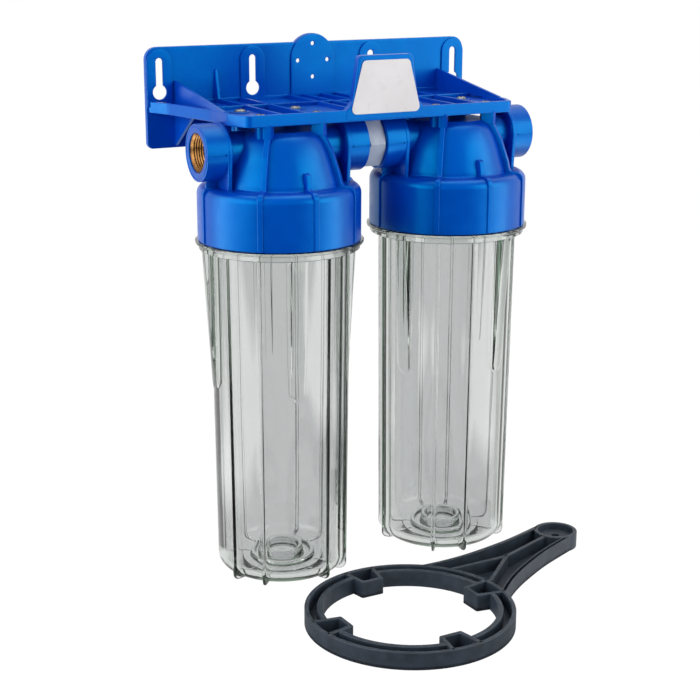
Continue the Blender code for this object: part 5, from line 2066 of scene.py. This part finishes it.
@dataclass
class Studio:
    """White studio: floor, surroundings, softboxes and the camera of the photograph."""

    ambient: float = 0.28
    card_edge: Point = (0.285, 0.38)
    card_front: Point = (-0.22, -0.08)
    card_back: Point = (0.62, 0.45)
    card_glossy: float = 4.0
    dim_edge: Point = (-0.05, 0.04)
    floor_glossy: float = 0.25
    floor_diffuse: float = 0.5
    floor_seen: float = 1.06
    floor_white: float = 0.93
    floor_shade: float = 0.9
    floor_half: float = 9.0
    # A sump that is unscrewed comes down 20 mm and stays above the floor.
    floor_z: float = -0.0206
    camera_place: Triple = (-543.63, -983.61, 464.01)
    forward: Triple = (0.45399, 0.84664, -0.27765)
    right: Triple = (0.88167, -0.47186, 0.00279)
    up: Triple = (0.12866, 0.24606, 0.96068)
    lens: float = 80.17
    sensor: float = 36.0
    shift: Point = (0.0067, 0.0325)
    # The camera's right and the way towards it, both level.
    sideways: Triple = (0.8817, -0.4719, 0.0)
    nearer: Triple = (-0.4719, -0.8817, 0.0)
    lamps: tuple[Softbox, ...] = (
        Softbox("softbox_left", (-1.35, 0.02, 0.62), (0.0, 0.03, 0.22), 1.6, 1.2, 17.0),
        Softbox("softbox_right", (0.88, -1.02, 0.66), (0.0, 0.03, 0.22), 1.3, 1.2, 14.0),
        Softbox("softbox_top", (0.1, 0.2, 1.6), (0.0, 0.0, 0.2), 1.4, 1.0, 6.0),
    )

    def surroundings(self) -> None:
        """White world for the camera and for what shows in and through the parts.

        As a lamp it is dimmer.
        """
        world = bpy.data.worlds.new("white_studio")
        world.use_nodes = True
        tree = world.node_tree
        tree.nodes.clear()
        path = add_node(tree, "ShaderNodeLightPath")
        seen = path.outputs["Is Camera Ray"]
        for name in ("Is Glossy Ray", "Is Transmission Ray"):
            links = {0: seen, 1: path.outputs[name]}
            seen = add_node(tree, MATH, {"operation": "MAXIMUM"}, links).outputs[0]
        strength = add_node(tree, "ShaderNodeMix", {"data_type": "FLOAT"},
                            {0: seen, 2: self.ambient, 3: 1.0})
        white = add_node(tree, "ShaderNodeBackground", {},
                         {"Color": WHITE, "Strength": strength})
        add_node(tree, "ShaderNodeOutputWorld", {}, {"Surface": white})
        bpy.context.scene.world = world

    def floor_finish(self) -> Material:
        """White paper floor, with pale cards at both sides that show in glossy parts.

        Returns:
            The material.
        """
        material = bpy.data.materials.new("studio_floor")
        material.use_nodes = True
        tree = material.node_tree
        tree.nodes.clear()
        path = add_node(tree, "ShaderNodeLightPath")
        place = add_node(tree, "ShaderNodeTexCoord").outputs["Object"]
        product, multiply = {"operation": "DOT_PRODUCT"}, {"operation": "MULTIPLY"}
        blend = {"data_type": "FLOAT"}
        sideways, nearer = (
            add_node(tree, "ShaderNodeVectorMath", product, {0: place, 1: way}).outputs["Value"]
            for way in (self.sideways, self.nearer))
        apart = add_node(tree, MATH, {"operation": "ABSOLUTE"}, {0: sideways})
        beside, front, behind, plain = (
            add_node(tree, "ShaderNodeMapRange", {}, {
                "Value": value, "From Min": edge[0], "From Max": edge[1], "To Min": low,
                "To Max": high})
            for value, edge, low, high in (
                (apart, self.card_edge, 0.0, 1.0), (nearer, self.card_front, 0.0, 1.0),
                (nearer, self.card_back, 0.0, 1.0),
                (nearer, self.dim_edge, 1.0, self.floor_glossy)))
        along = add_node(tree, MATH, multiply, {0: front, 1: behind})
        card = add_node(tree, MATH, multiply, {0: beside, 1: along})
        # In glossy parts the floor before the filter stays dim.
        glossy = add_node(tree, "ShaderNodeMix", blend, {0: card, 2: plain, 3: self.card_glossy})
        other = add_node(tree, "ShaderNodeMix", blend, {
            0: path.outputs["Is Glossy Ray"], 2: self.floor_diffuse, 3: glossy})
        seen = add_node(tree, MATH, {"operation": "MAXIMUM"}, {
            0: path.outputs["Is Camera Ray"], 1: path.outputs["Is Transmission Ray"]})
        strength = add_node(tree, "ShaderNodeMix", blend,
                            {0: seen, 2: other, 3: self.floor_seen})
        white = add_node(tree, "ShaderNodeEmission", {},
                         {"Color": WHITE, "Strength": strength})
        shade = add_node(tree, "ShaderNodeBsdfDiffuse", {},
                         {"Color": (*[self.floor_shade] * 3, 1.0)})
        mix = add_node(tree, "ShaderNodeMixShader", {},
                       {0: self.floor_white, 1: shade, 2: white})
        add_node(tree, "ShaderNodeOutputMaterial", {}, {"Surface": mix})
        return material

    def floor(self) -> None:
        """White floor that only shows the soft shadow under the filter."""
        mesh = bpy.data.meshes.new("floor")
        half = self.floor_half
        corners = [(x, y, 0.0) for x, y in box((-half, -half), (half, half))]
        mesh.from_pydata(corners, [], [(0, 1, 2, 3)])
        mesh.materials.append(self.floor_finish())
        item = bpy.data.objects.new("floor", mesh)
        item.location.z = self.floor_z
        bpy.context.scene.collection.objects.link(item)

    def camera(self) -> None:
        """Camera solved from the photograph."""
        data = bpy.data.cameras.new("camera")
        data.sensor_width = self.sensor
        data.lens = self.lens
        data.shift_x, data.shift_y = self.shift
        item = bpy.data.objects.new("camera", data)
        matrix = axes_matrix((self.right, self.up, -Vector(self.forward)))
        matrix.translation = TO_FRAME @ Vector(self.camera_place)
        item.matrix_world = matrix
        bpy.context.scene.collection.objects.link(item)
        bpy.context.scene.camera = item

    def build(self) -> None:
        """Builds the studio."""
        bpy.context.scene.view_settings.view_transform = "Standard"
        self.surroundings()
        self.floor()
        self.camera()
        for lamp in self.lamps:
            lamp.build()


def main() -> None:
    """Builds the filter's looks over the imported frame."""
    logging.basicConfig(level=logging.INFO, format="%(message)s")
    materials = Materials(Palette())
    Bracket().build(materials)
    for side, rib_angle in ((Side.LEFT, -12.0), (Side.RIGHT, 21.8)):
        Cap(side).build(materials)
        Sump(side, rib_angle).build(materials)
    Fittings().build(materials)
    Wrench().build(materials)
    Studio().build()


if __name__ == "__main__":
    main()
